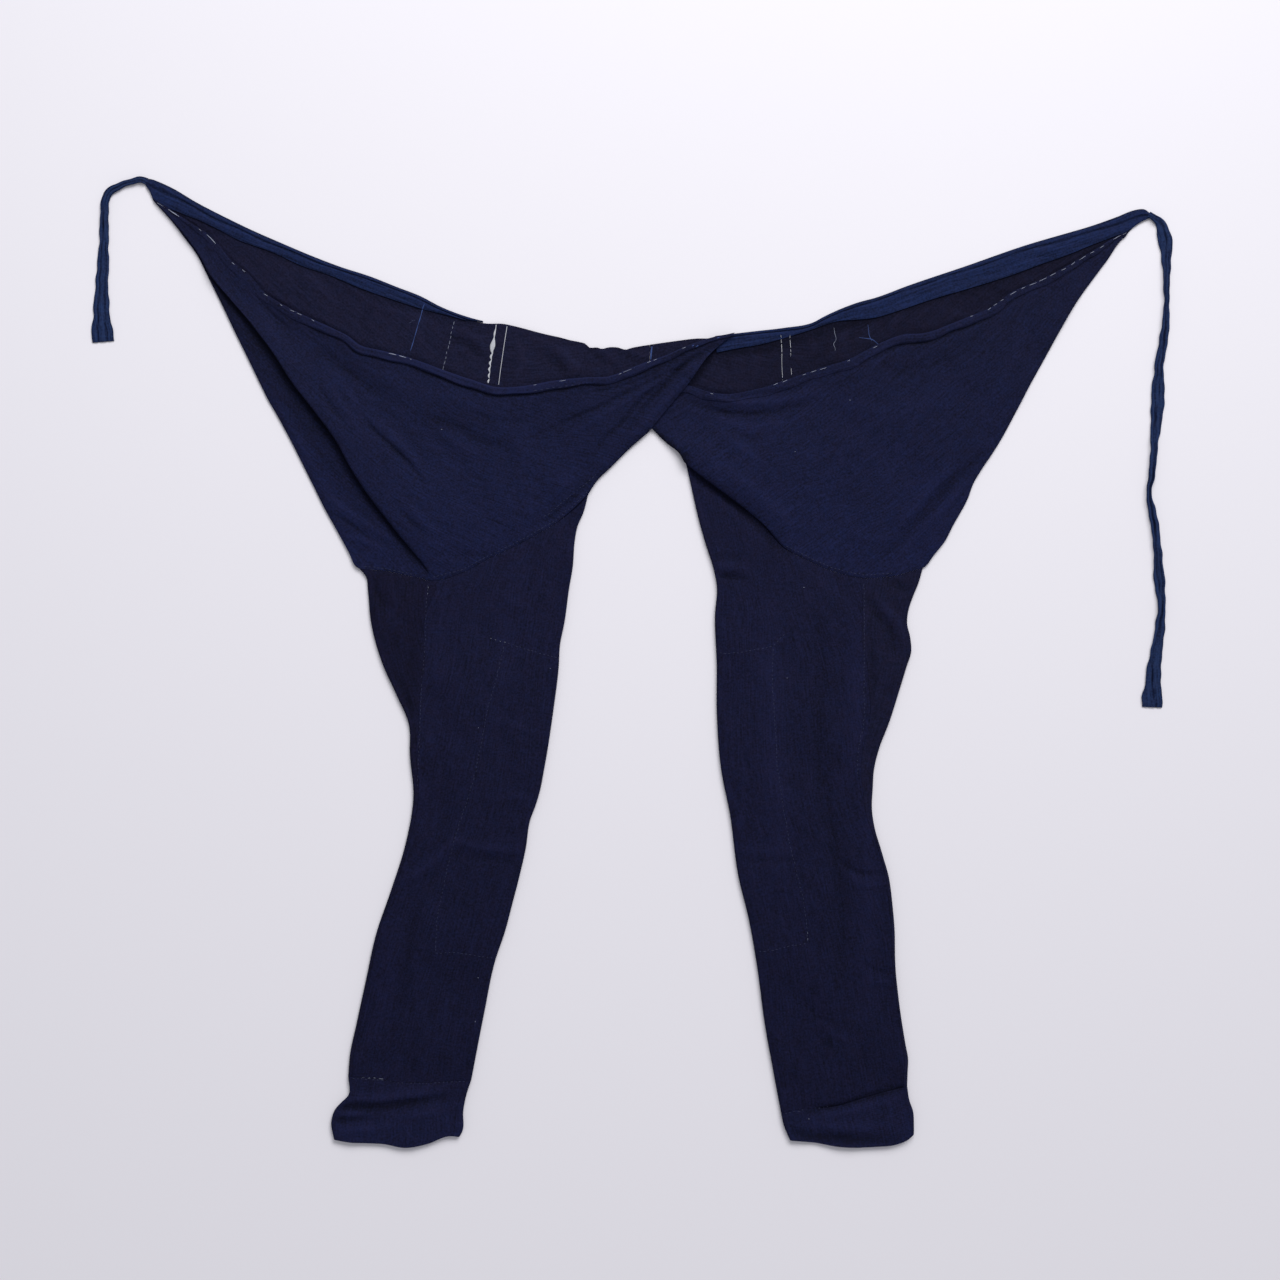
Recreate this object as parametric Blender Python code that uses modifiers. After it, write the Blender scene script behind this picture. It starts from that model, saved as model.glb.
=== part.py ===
"""Momohiki, Japanese indigo work pants, opened out and lying flat, modelled at real size.

The back of the garment lies on the table and its inside shows above the front hems. Each half
has a front panel on its back panel, and a leg that is one flat tube of two pieces, with a cuff.
The left front crosses over the right front at the middle. Left and right are as seen from above.
Outlines are in millimetres from the middle of the footprint, +X right, +Y to the waist, +Z up.
"""

import math

import bpy
import numpy as np

MM = 0.001

# Cloth walls, the spaces between them, and the radii of the folded edges. The leg's edges reach
# their full radius at the share LEG_SWELL of the way down.
WALL = 1.2
HEM_WALL = 1.0
CUFF_WALL = 1.6
GAP = 0.3
SEAM_SHIFT = 0.45
TOUCH = 0.01
FLAT_RADIUS = 1.8
LEG_RADIUS = 2.4
CUFF_RADIUS = 2.7
LEG_SWELL = 0.2
FRONT_TOP = 2 * FLAT_RADIUS
SIDE_TOP = 2 * WALL + GAP
BAND_TOP = 2 * WALL + GAP
BAND_ROLL = 3.0
BAND_DROP = 0.8
TIE_THICK = 2.4
TIE_TWIST_THICK = 4.6
TIE_TWIST_WIDTH = 7.5

# The left front rises over the right front between these two places
CROSS_START_X = -100.0
CROSS_END_X = -30.0
CROSS_RISE = 3.4

HEM_WIDTH = 11.0
HEM_SHARE = 0.4

# Columns of the fronts: none on the seam nearer than this share to the last near column,
# and the steps past the crotch. The columns are evenly spaced at the tip, and the rows spread
# to the end edge's width near their end.
FIRST_SEAM_COLUMN = 0.03
LEFT_BEYOND = [0.09, 0.18, 0.26]
RIGHT_BEYOND = [0.05]
TIP_SPREAD = 3
END_SPREAD = 4

# The back panel stops short of the waist's tip, and comes out to the edge where the band ends:
# share of the waist's length
BACK_INSET = 3.3
BACK_START = 0.012
BAND_END = 0.02

FRONT_ROWS = 27
CUFF_ROWS = 6
LEG_ROWS = 22
LEG_COLUMNS = 8
BAND_ROWS = 26
WAIST_POINTS = 36
OUTER_POINTS = 24
CROTCH_POINTS = 5
FOLD_FADE = 0.07

# Edges of each half, seen from above, as (x, y) points that a smooth line runs through.
# waist: tip to middle. outer: tip to seam. seam: outer edge to inner edge, hip to leg.
# crotch: seam to middle. flap: middle to the end of the front hem. front: its hem, from the tip.
LEFT_EDGES = {
    "waist": [(-542, 542), (-517, 532), (-488, 514), (-452, 495), (-394, 468), (-327, 440),
              (-264, 419), (-215, 395), (-170, 380), (-96, 364), (-47, 352), (-5, 350), (20, 355)],
    "band_low": [(-538, 522), (-502, 502), (-470, 488), (-405, 460), (-338, 433), (-271, 407),
                 (-235, 395), (-175, 378)],
    "front": [(-512, 503), (-488, 487), (-448, 449), (-412, 414), (-379, 394), (-318, 365),
              (-282, 349), (-233, 335), (-179, 316), (-152, 308), (-131, 308), (-87, 315),
              (-23, 320), (15, 335), (63, 354), (115, 368)],
    "outer": [(-525, 505), (-515, 491), (-489, 460), (-461, 410), (-426, 342), (-394, 280),
              (-354, 202), (-325, 139), (-305, 104)],
    "seam": [(-305, 104), (-279, 102), (-248, 96), (-224, 91), (-190, 100), (-164, 114),
             (-110, 141), (-85, 156), (-64, 173), (-49, 188)],
    "crotch": [(-49, 188), (-23, 219), (-4, 238), (20, 259)],
    "flap": [(20, 259), (36, 279), (63, 311), (87, 344), (115, 368)],
    "leg_outer": [(-305, 104), (-298, 95), (-296, 80), (-293, 47), (-279, -4), (-264, -37),
                  (-250, -71), (-249, -104), (-245, -150), (-254, -205), (-270, -256),
                  (-287, -306), (-298, -356), (-309, -407), (-316, -440), (-318, -464)],
    "leg_inner": [(-49, 188), (-57, 164), (-64, 147), (-68, 97), (-82, 13), (-88, -54),
                  (-100, -121), (-118, -188), (-131, -256), (-150, -323), (-166, -390),
                  (-180, -468)],
    "cuff_seam": [(-318, -464), (-290, -466), (-260, -471), (-228, -471), (-180, -468)],
    "cuff_outer": [(-318, -464), (-318, -486), (-325, -493), (-333, -502), (-337, -516),
                   (-334, -535)],
    "cuff_inner": [(-180, -468), (-186, -487), (-189, -503), (-190, -526), (-193, -532)],
    "cuff_hem": [(-334, -535), (-316, -538), (-296, -539), (-278, -540), (-254, -544),
                 (-230, -540), (-204, -531), (-193, -532)],
}
RIGHT_EDGES = {
    "waist": [(580, 506), (542, 499), (494, 483), (441, 467), (375, 444), (310, 422),
              (272, 405), (237, 393), (207, 379), (170, 374), (138, 370), (82, 365), (20, 355)],
    "band_low": [(580, 497), (557, 484), (516, 467), (462, 447), (430, 435), (376, 420),
                 (322, 406), (278, 393), (250, 386), (203, 374), (176, 366), (149, 358),
                 (116, 353), (95, 349)],
    "front": [(543, 474), (494, 446), (447, 424), (422, 412), (385, 390), (358, 379),
              (326, 368), (305, 367), (280, 358), (262, 349), (213, 330), (155, 310),
              (128, 303), (111, 300), (84, 303), (67, 309), (20, 301), (-19, 291)],
    "outer": [(549, 470), (530, 448), (494, 393), (466, 352), (447, 317), (422, 271),
              (399, 226), (378, 199), (361, 158), (345, 130), (326, 105)],
    "seam": [(326, 105), (293, 96), (259, 94), (224, 102), (197, 114), (172, 127), (143, 158),
             (116, 182), (90, 202), (60, 224)],
    "crotch": [(60, 224), (54, 233), (38, 246), (22, 262)],
    "flap": [(22, 262), (-19, 291)],
    "leg_outer": [(326, 105), (319, 80), (315, 64), (308, 47), (312, 13), (307, -4), (297, -37),
                  (287, -71), (274, -104), (269, -138), (268, -172), (275, -205), (286, -239),
                  (290, -272), (292, -340), (301, -407), (308, -471)],
    "leg_inner": [(60, 224), (65, 203), (74, 163), (82, 134), (92, 102), (95, 86), (93, 52),
                  (95, -4), (95, -54), (100, -121), (110, -172), (119, -239), (131, -289),
                  (140, -340), (149, -407), (158, -457), (167, -505)],
    "cuff_seam": [(308, -471), (282, -477), (255, -489), (222, -497), (188, -501), (167, -505)],
    "cuff_outer": [(308, -471), (311, -492), (315, -503), (316, -518), (316, -529)],
    "cuff_inner": [(167, -505), (170, -519), (177, -537)],
    "cuff_hem": [(316, -529), (309, -535), (297, -540), (272, -543), (233, -543), (202, -539),
                 (177, -537)],
}
# The foot of the deep fold on the left front: the cloth to its right stands over the side strip
LEFT_DEEP_FOLD = [(-521, 504), (-486, 458), (-455, 412), (-417, 367), (-379, 313), (-329, 248),
                  (-292, 187), (-249, 130), (-224, 91)]

# Height of the left deep fold: share of the way down it, and millimetres
LEFT_FOLD_HEIGHT = [(0.00, 0.0), (0.12, 0.8), (0.30, 4.2), (0.55, 6.6), (0.80, 7.0),
                    (0.93, 4.5), (1.00, 0.0)]
# Section of the left deep fold: share of the panel's width from the foot, and share of the height
LEFT_FOLD_SECTION = [(0.000, 0.00), (0.005, 0.50), (0.011, 0.82), (0.024, 1.00), (0.065, 0.96),
                     (0.15, 0.72), (0.29, 0.32), (0.45, 0.07), (0.60, 0.00)]
# The right deep fold stands over the top of the right leg, along the seam, from the crotch
RIGHT_FOLD_HEIGHT = [(0.00, 0.0), (0.39, 0.0), (0.49, 3.0), (0.60, 6.0), (0.70, 6.6),
                     (0.78, 3.6), (0.84, 0.6), (0.877, 0.0), (1.00, 0.0)]
RIGHT_FOLD_SECTION = [(0.000, 0.00), (0.006, 0.50), (0.013, 0.82), (0.025, 1.00), (0.05, 0.95),
                      (0.10, 0.75), (0.20, 0.35), (0.35, 0.05), (0.45, 0.00)]

# Distance of each leg's front seam from its outer edge: share of the way down, and millimetres
LEFT_SIDE_SEAM = [(0.00, 82.0), (0.045, 68.0), (0.18, 48.0), (0.24, 30.0), (0.305, 13.0),
                  (0.42, 8.0), (0.50, 6.0), (1.00, 6.0)]
RIGHT_SIDE_SEAM = [(0.00, 68.0), (0.10, 50.0), (0.14, 52.0), (0.20, 41.0), (0.26, 29.0),
                   (0.33, 22.0), (0.38, 17.0), (0.50, 6.0), (1.00, 6.0)]
# The plain back seam, hidden below, starts as far in as the front one and runs nearer to the edge
BACK_SEAM_AT_CUFF = 0.35

# Largest soft folds: start x, y, end x, y, height (a trough is negative), half width
LEFT_FRONT_FOLDS = [(-295, 267, -238, 208, -0.9, 16), (-227, 271, -141, 240, -0.8, 26),
                    (70, 360, -26, 311, 1.3, 14), (85, 351, -114, 247, 1.5, 22)]
RIGHT_FRONT_FOLDS = [(385, 228, 278, 121, -0.8, 22), (57, 298, 165, 276, -0.8, 16)]
LEFT_LEG_FOLDS = [(-254, -246, -202, -204, 2.2, 20), (-196, -214, -122, -232, -1.2, 20),
                  (-240, 60, -250, -60, -1.0, 18)]
RIGHT_LEG_FOLDS = [(209, 66, 213, -115, -1.4, 26), (213, -115, 232, -380, -1.4, 22),
                   (150, 60, 165, -260, 1.6, 40), (262, -180, 262, -400, 1.6, 36),
                   (232, -222, 292, -242, 1.5, 16)]

# Ties: x, y of the middle of the strip, its width, from the tip of the waist to the free end
LEFT_TIE = [(-542.5, 538.5, 7), (-546, 538.5, 7), (-553, 540.5, 7), (-561, 539.5, 7),
            (-570, 536, 8), (-579, 531, 9), (-586, 525, 9), (-590.5, 515, 9), (-592, 500, 9),
            (-592, 483, 10), (-592, 467, 11), (-593, 433, 14), (-594, 400, 16), (-594, 383, 20),
            (-593, 366, 23), (-592.5, 359, 24)]
RIGHT_TIE = [(580.6, 501, 9), (583, 500.8, 10), (589, 493, 13), (594, 484, 14.5),
             (597, 467, 15), (598, 450, 12), (597.5, 433, 8), (599, 400, 5), (596, 366, 9),
             (590, 332, 9), (589, 310, 12.5), (588, 282, 13.5), (584, 248, 8), (581, 215, 6.5),
             (577.5, 185, 5), (583, 164, 8), (588, 125, 8), (589.5, 95, 12), (592, 64, 8),
             (589, 30, 11), (584, -4, 14.5), (582.5, -32, 20), (582, -51, 23)]

# Colours of the dyed cotton, as linear red, green and blue
BODY_BLUE = (0.010, 0.014, 0.052)
INSIDE_BLUE = (0.010, 0.011, 0.034)
BAND_BLUE = (0.011, 0.033, 0.115)
COTTON_ROUGHNESS = 0.9


def smooth(points, steps=8):
    """Fine line through the points, rounded between them."""
    points = np.array(points, float)
    chords = np.linalg.norm(np.diff(points, axis=0), axis=1)
    knots = np.concatenate([[0.0], np.cumsum(chords)])
    slopes = np.gradient(points, knots, axis=0)
    line = []
    for i, chord in enumerate(chords):
        for s in np.arange(steps) / steps:
            line.append((2 * s**3 - 3 * s**2 + 1) * points[i]
                        + (s**3 - 2 * s**2 + s) * chord * slopes[i]
                        + (3 * s**2 - 2 * s**3) * points[i + 1]
                        + (s**3 - s**2) * chord * slopes[i + 1])
    line.append(points[-1])
    return np.array(line)


def length(line):
    """Length of a line of points."""
    return np.linalg.norm(np.diff(line, axis=0), axis=1).sum()


def along(line, shares):
    """Points at these shares of the line's length."""
    steps = np.linalg.norm(np.diff(line, axis=0), axis=1)
    run = np.concatenate([[0.0], np.cumsum(steps)])
    place = np.asarray(shares) * run[-1]
    return np.stack([np.interp(place, run, line[:, k]) for k in range(line.shape[1])], axis=-1)


def table(rows, values):
    """Second column of a table, read at these values of its first column."""
    rows = np.array(rows, float)
    return np.interp(values, rows[:, 0], rows[:, 1])


def patch(side_a, side_b, start, end, across, down):
    """Plan points, one row for each share down, between four edges that meet at the corners."""
    u = across[..., None]
    v = down[:, None, None]
    sides = (1 - u) * along(side_a, down)[:, None] + u * along(side_b, down)[:, None]
    ends = (1 - v) * along(start, across) + v * along(end, across)
    corners = ((1 - u) * (1 - v) * side_a[0] + u * (1 - v) * side_b[0]
               + (1 - u) * v * side_a[-1] + u * v * side_b[-1])
    return sides + ends - corners


def soft_folds(plan, rows):
    """Height that the soft folds in the table add at the plan points."""
    height = np.zeros(plan.shape[:-1])
    for x0, y0, x1, y1, rise, half_width in rows:
        start = np.array([x0, y0], float)
        run = np.array([x1 - x0, y1 - y0], float)
        share = np.clip(((plan - start) @ run) / (run @ run), 0, 1)
        away = np.linalg.norm(plan - start - share[..., None] * run, axis=-1)
        across = np.cos(np.clip(away / half_width, 0, 1) * math.pi / 2) ** 2
        height += rise * across * np.sin(math.pi * (0.1 + 0.8 * share))
    return height


def fade_at_ends(down):
    """One for each row, falling to nothing at the first and last, where panels meet at a seam."""
    return np.clip(np.minimum(down, 1 - down) / FOLD_FADE, 0, 1)[:, None]


def raised(plan, height):
    """Points in space from plan points and their heights."""
    return np.concatenate([plan, height[..., None]], axis=-1)


def dyed_cotton(name, colour):
    """Matt material of one dye."""
    material = bpy.data.materials.new(name)
    material.use_nodes = True
    shader = material.node_tree.nodes["Principled BSDF"]
    shader.inputs["Base Color"].default_value = (*colour, 1)
    shader.inputs["Roughness"].default_value = COTTON_ROUGHNESS
    shader.inputs["Metallic"].default_value = 0.0
    material.diffuse_color = (*colour, 1)
    return material


def cloth_object(name, vertices, faces, material):
    """Object with its top faces facing up."""
    mesh = bpy.data.meshes.new(name)
    mesh.from_pydata(np.asarray(vertices) * MM, [], faces)
    highest = max(mesh.polygons, key=lambda face: face.center.z)
    if highest.normal.z < 0:
        mesh.flip_normals()
    mesh.materials.append(material)
    piece = bpy.data.objects.new(name, mesh)
    bpy.data.collections["momohiki"].objects.link(piece)
    return piece


def add_wall(piece, thickness):
    """Wall on the inner side of an outer surface."""
    wall = piece.modifiers.new("wall", "SOLIDIFY")
    wall.thickness = thickness * MM
    wall.offset = -1


def cloth_sheet(name, grid, thickness, material):
    """Cloth wall under a grid of points on its upper surface."""
    rows, columns = grid.shape[:2]
    faces = []
    for i in range(rows - 1):
        for j in range(columns - 1):
            near, far = i * columns + j, (i + 1) * columns + j
            faces.append((near, near + 1, far + 1, far))
    piece = cloth_object(name, grid.reshape(-1, 3), faces, material)
    add_wall(piece, thickness)


def flat_cloth(name, outline, thickness, material):
    """Flat cloth on the table, cut to an outline."""
    top = [(x, y, thickness) for x, y in outline]
    piece = cloth_object(name, top, [tuple(range(len(top)))], material)
    add_wall(piece, thickness)


def ring_points(width, radius, depth, places):
    """Share of the width, height, and whether it is on the flat front, at places round a tube.

    A place is in millimetres from the outer edge, along the outer surface: positive on the front
    and negative on the back. Depth is how far inside that surface the points are.
    """
    quarter = math.pi / 2 * radius
    inner = quarter + width - 2 * radius
    rows = []
    for place in places:
        run = abs(place)
        inset = run - quarter + radius
        turn = math.pi / 2
        if run < quarter:
            turn = run / radius
            inset = depth + (radius - depth) * (1 - math.cos(turn))
        elif run > inner:
            turn = (inner + quarter - run) / radius
            inset = width - depth - (radius - depth) * (1 - math.cos(turn))
        height = radius + math.copysign((radius - depth) * math.sin(turn), place)
        on_front = quarter < place - TOUCH and place < inner - TOUCH
        rows.append((inset / width, height, float(on_front)))
    return np.array(rows).T


def fold_places(quarter):
    """Places round one folded edge, apart from its two ends."""
    return [quarter * share for share in (-1, -0.5, 0, 0.5, 1)]


def side_places(width, radius, front_seam, back_seam):
    """Places round the side piece, from its back seam over the outer edge to its front seam."""
    quarter = math.pi / 2 * radius
    places = [-back_seam + GAP / 2, -(back_seam + quarter) / 2]
    places += fold_places(quarter)
    places += [(quarter + front_seam) / 2, front_seam - GAP / 2]
    return places


def main_places(width, radius, front_seam, back_seam):
    """Places round the front piece, from its front seam over the inner edge to its back seam."""
    quarter = math.pi / 2 * radius
    inner = quarter + width - 2 * radius
    places = list(np.linspace(front_seam + GAP / 2, inner, LEG_COLUMNS))
    places += [inner + quarter * share for share in (0.5, 1.0)]
    turned = [-(inner + quarter * share) for share in (0.5, 0.0)]
    places += turned + list(np.linspace(-inner, -back_seam - GAP / 2, LEG_COLUMNS))[1:]
    return places


def tube_grid(edges, names, radii, down, places_at, depth, folds=()):
    """Points of part of a flat tube between four plan edges, at a depth under its surface."""
    outer, inner, start, end = [edges[name] for name in names]
    widths = np.linalg.norm(along(inner, down) - along(outer, down), axis=1)
    widths[0] = length(start)
    rings = [ring_points(width, radius, depth, places_at(width, radius, v))
             for width, radius, v in zip(widths, radii, down)]
    shares, heights, on_front = np.array(rings).transpose(1, 0, 2)
    plan = patch(outer, inner, start, end, shares, down)
    rise = soft_folds(plan, folds) * on_front * fade_at_ends(down)
    return raised(plan, heights + rise)


def cloth_wall(name, outside, inside, material, ring=False):
    """Cloth between two grids of points; a ring's last column meets its first."""
    rows, columns = outside.shape[:2]
    count = rows * columns
    spans = columns if ring else columns - 1
    faces = []
    for i in range(rows - 1):
        for j in range(spans):
            k = (j + 1) % columns
            near, far = i * columns, (i + 1) * columns
            faces.append((near + j, near + k, far + k, far + j))
            faces.append((count + near + j, count + far + j, count + far + k, count + near + k))
    for i in (0, rows - 1):
        for j in range(spans):
            k = (j + 1) % columns
            rim = [i * columns + j, count + i * columns + j, count + i * columns + k, i * columns + k]
            faces.append(rim if i == 0 else rim[::-1])
    if not ring:
        for j in (0, columns - 1):
            for i in range(rows - 1):
                near, far = i * columns + j, (i + 1) * columns + j
                rim = [near, far, count + far, count + near]
                faces.append(rim if j == 0 else rim[::-1])
    cloth_object(name, np.concatenate([outside.reshape(-1, 3), inside.reshape(-1, 3)]),
                 faces, material)


def build_leg(side, edges, side_seam, folds, material):
    """Leg tube of two pieces that meet at a seam near the outer edge, front and back."""
    down = np.linspace(0, 1, LEG_ROWS)
    radii = FLAT_RADIUS + (LEG_RADIUS - FLAT_RADIUS) * np.clip(down / LEG_SWELL, 0, 1)
    first = side_seam[0][1]

    def seams(v):
        return table(side_seam, v), first * (1 + v * (BACK_SEAM_AT_CUFF - 1))

    names = ("leg_outer", "leg_inner", "leg_top", "cuff_seam")
    for name, section in (("leg_front_", main_places), ("leg_side_", side_places)):
        def places_at(width, radius, v):
            return section(width, radius, *seams(v))
        surfaces = [tube_grid(edges, names, radii, down, places_at, depth, folds)
                    for depth in (0, WALL)]
        cloth_wall(name + side, *surfaces, material)


def seam_line(edges, side_seam):
    """Hip seam through the places where the leg's pieces have their points."""
    line = smooth(edges["seam"])
    width = length(line)
    first = side_seam[0][1]
    strip = side_places(width, FLAT_RADIUS, first, first)
    main = main_places(width, FLAT_RADIUS, first, first)
    places = [place for place in strip + main if place >= 0]
    shares = sorted(set(np.round(ring_points(width, FLAT_RADIUS, 0, places)[0], 6)))
    return along(line, np.array([0.0] + [s for s in shares if 0 < s < 1] + [1.0]))


def cuff_line(edges, side_seam):
    """Cuff seam through the places where the leg's pieces have their points."""
    line = smooth(edges["cuff_seam"])
    width = length(line)
    places = main_places(width, LEG_RADIUS, side_seam[-1][1], side_seam[-1][1])
    shares = ring_points(width, LEG_RADIUS, 0, places)[0][:LEG_COLUMNS]
    return along(line, np.concatenate([[0.0], shares, [1.0]]))


def build_cuff(side, edges, material):
    """Turned band at the ankle, one flat ring."""
    down = np.linspace(0, 1, CUFF_ROWS)
    radii = np.full(CUFF_ROWS, CUFF_RADIUS)

    def places(width, radius, v):
        quarter = math.pi / 2 * radius
        inner = quarter + width - 2 * radius
        front = list(np.linspace(quarter, inner, LEG_COLUMNS))
        turn = [inner + quarter / 2, inner + quarter, -inner - quarter / 2]
        back = [-place for place in reversed(front)]
        return front + turn + back + [-quarter / 2, 0, quarter / 2]

    names = ("cuff_outer", "cuff_inner", "cuff_top", "cuff_hem")
    surfaces = [tube_grid(edges, names, radii, down, places, depth) for depth in (0, CUFF_WALL)]
    cloth_wall("cuff_" + side, *surfaces, material, ring=True)


def front_plan(edges, side, seam, near, beyond, down):
    """Plan points of a front panel, from its tip down to its end edge and across to its hem.

    Returns them with the share across at each, and the shares at which the end edge leaves the
    seam and the crotch. Near and beyond are the columns next to the side and past the crotch.
    """
    end = np.concatenate([seam, edges["crotch"][1:], edges["flap"][1:]])
    end_width = length(end)
    seam_end = length(seam) / end_width
    crotch_end = seam_end + length(edges["crotch"]) / end_width
    on_seam = np.cumsum(np.linalg.norm(np.diff(seam, axis=0), axis=1)) / end_width
    columns = near + [share for share in on_seam if share > near[-1] + FIRST_SEAM_COLUMN]
    columns += [(seam_end + crotch_end) / 2, crotch_end] + [crotch_end + step for step in beyond]

    width = np.linalg.norm(along(edges["front"], down) - along(side, down), axis=1)
    width = width + (end_width - width) * down**END_SPREAD
    hem = (1 - np.minimum(HEM_WIDTH, HEM_SHARE * width) / width)[:, None]
    at_end = np.array(columns) / hem[-1]
    even = np.linspace(0, at_end[-1], len(at_end))
    inner = at_end + (even - at_end) * ((1 - down) ** TIP_SPREAD)[:, None]
    across = np.concatenate([inner * hem, hem, np.ones_like(hem)], axis=1)
    start = np.array([side[0], edges["front"][0]])
    return patch(side, edges["front"], start, end, across, down), across, seam_end, crotch_end


def lower_crotch(height, across, seam_end, crotch_end):
    """The front comes down onto the back along the crotch edge, between the seam and the middle."""
    on_crotch = (across[-1] > seam_end + TOUCH) & (across[-1] < crotch_end - TOUCH)
    height[-1, on_crotch] = SIDE_TOP


def build_front_left(edges, materials):
    """Left front panel with its side strip, its deep fold and the flap that crosses the middle."""
    down = np.linspace(0, 1, FRONT_ROWS)
    outer, seam, fold = edges["outer"], edges["seam_line"], smooth(LEFT_DEEP_FOLD)
    junction = np.argmin(np.linalg.norm(seam - fold[-1], axis=1))
    fold[-1] = seam[junction]
    strip_across = np.tile([0.0, 0.5], (FRONT_ROWS, 1))
    tip = np.array([outer[0], fold[0]])
    strip = patch(outer, fold, tip, seam[:junction + 1], strip_across, down)
    strip_height = np.tile([SIDE_TOP, FRONT_TOP], (FRONT_ROWS, 1))
    strip_height[-1, 0] = FRONT_TOP

    near = [row[0] for row in LEFT_FOLD_SECTION[:4]]
    panel, across, *ends = front_plan(edges, fold, seam[junction:], near, LEFT_BEYOND, down)
    rise = table(LEFT_FOLD_HEIGHT, down)[:, None] * table(LEFT_FOLD_SECTION, across)
    cross = np.clip((panel[..., 0] - CROSS_START_X) / (CROSS_END_X - CROSS_START_X), 0, 1)
    height = FRONT_TOP + rise + CROSS_RISE * cross**2 * (3 - 2 * cross)
    height += soft_folds(panel, LEFT_FRONT_FOLDS) * fade_at_ends(down)
    lower_crotch(height, across, *ends)
    grid = np.concatenate([raised(strip, strip_height), raised(panel, height)], axis=1)
    cloth_sheet("hip_front_left", grid, WALL, materials["body"])
    build_hem("left", grid, materials["body"])


def build_front_right(edges, materials):
    """Right front panel; its deep fold stands over the leg, and its corner is under the left."""
    fold_rows = [1 - row[0] for row in reversed(RIGHT_FOLD_SECTION[:6])]
    even_rows = np.linspace(0, fold_rows[0], FRONT_ROWS - len(fold_rows), endpoint=False)
    down = np.concatenate([even_rows, fold_rows])
    panel, across, *ends = front_plan(edges, edges["outer"], edges["seam_line"], [0.0],
                                      RIGHT_BEYOND, down)
    rise = table(RIGHT_FOLD_SECTION, 1 - down)[:, None] * table(RIGHT_FOLD_HEIGHT, across)
    height = FRONT_TOP + rise + soft_folds(panel, RIGHT_FRONT_FOLDS) * fade_at_ends(down)
    height[:-1, 0] = SIDE_TOP
    lower_crotch(height, across, *ends)
    grid = raised(panel, height)
    cloth_sheet("hip_front_right", grid, WALL, materials["body"])
    build_hem("right", grid, materials["body"])


def build_hem(side, grid, material):
    """Turned and stitched hem on the upper edge of a front panel, from the panel's own points."""
    hem = grid[:, -2:].copy()
    hem[..., 2] += GAP + HEM_WALL
    cloth_sheet("front_hem_" + side, hem, HEM_WALL, material)


def build_back(side, edges, materials):
    """Back panel, flat on the table; its upper edge is inside the waistband."""
    shares = np.linspace(BACK_START, 1, WAIST_POINTS)
    waist = along(edges["waist"], shares)
    direction = np.gradient(waist, axis=0)
    direction /= np.linalg.norm(direction, axis=1)[:, None]
    normal = np.stack([direction[:, 1], -direction[:, 0]], axis=1)
    if normal[0, 1] > 0:
        normal = -normal
    covered = length(edges["band_top"]) / length(edges["waist"])
    under_band = np.clip(1 - (shares - covered - BAND_END) / BAND_END, 0, 1)
    inset = waist + normal * BACK_INSET * under_band[:, None]
    sign = 1 if side == "right" else -1
    middle = inset[-1, 0] + sign * GAP / 2
    inset[-1, 0] = middle
    crotch = along(edges["crotch"], np.linspace(0, 1, CROTCH_POINTS))
    crotch[-1, 0] = middle
    outer = along(edges["outer"], np.linspace(0, 1, OUTER_POINTS))
    outline = np.concatenate([inset, crotch[::-1], edges["seam_line"][-2:0:-1], outer[::-1]])
    flat_cloth("hip_back_" + side, outline, WALL, materials["inside"])


def build_band(side, edges, material):
    """Waistband: a folded strip on the upper edge of the back, rolled over the edge."""
    shares = np.linspace(0, 1, BAND_ROWS)
    top = along(edges["band_top"], shares)
    bottom = along(edges["band_low"], shares)
    width = np.linalg.norm(bottom - top, axis=1)[:, None]
    roll = top + (bottom - top) * np.minimum(BAND_ROLL / width, 0.5)
    columns = ((top, BAND_TOP - BAND_DROP), (roll, BAND_TOP + TOUCH), (bottom, BAND_TOP))
    grid = np.stack([raised(line, np.full(BAND_ROWS, z)) for line, z in columns], axis=1)
    cloth_sheet("waistband_" + side, grid, WALL, material)


def build_tie(side, rows, material):
    """Tie: a narrow folded strip with a free end, thicker where it is twisted on its edge."""
    rows = np.array(rows, float)
    middle = rows[:, :2]
    direction = np.gradient(middle, axis=0)
    direction /= np.linalg.norm(direction, axis=1)[:, None]
    normal = np.stack([-direction[:, 1], direction[:, 0]], axis=1)
    vertices, faces = [], []
    for point, sideways, width in zip(middle, normal, rows[:, 2]):
        thick = TIE_TWIST_THICK if width < TIE_TWIST_WIDTH and side == "right" else TIE_THICK
        chamfer = min(thick / 2, width / 4)
        half = width / 2
        section = [(-half, thick / 2), (chamfer - half, thick), (half - chamfer, thick),
                   (half, thick / 2), (half - chamfer, 0), (chamfer - half, 0)]
        vertices += [(*(point + sideways * a), z) for a, z in section]
    count = len(section)
    for i in range(len(rows) - 1):
        for j in range(count):
            k = (j + 1) % count
            faces.append((i * count + j, i * count + k, (i + 1) * count + k, (i + 1) * count + j))
    last = (len(rows) - 1) * count
    faces.append(tuple(reversed(range(count))))
    faces.append(tuple(range(last, last + count)))
    cloth_object("tie_" + side, vertices, faces, material)


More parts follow.
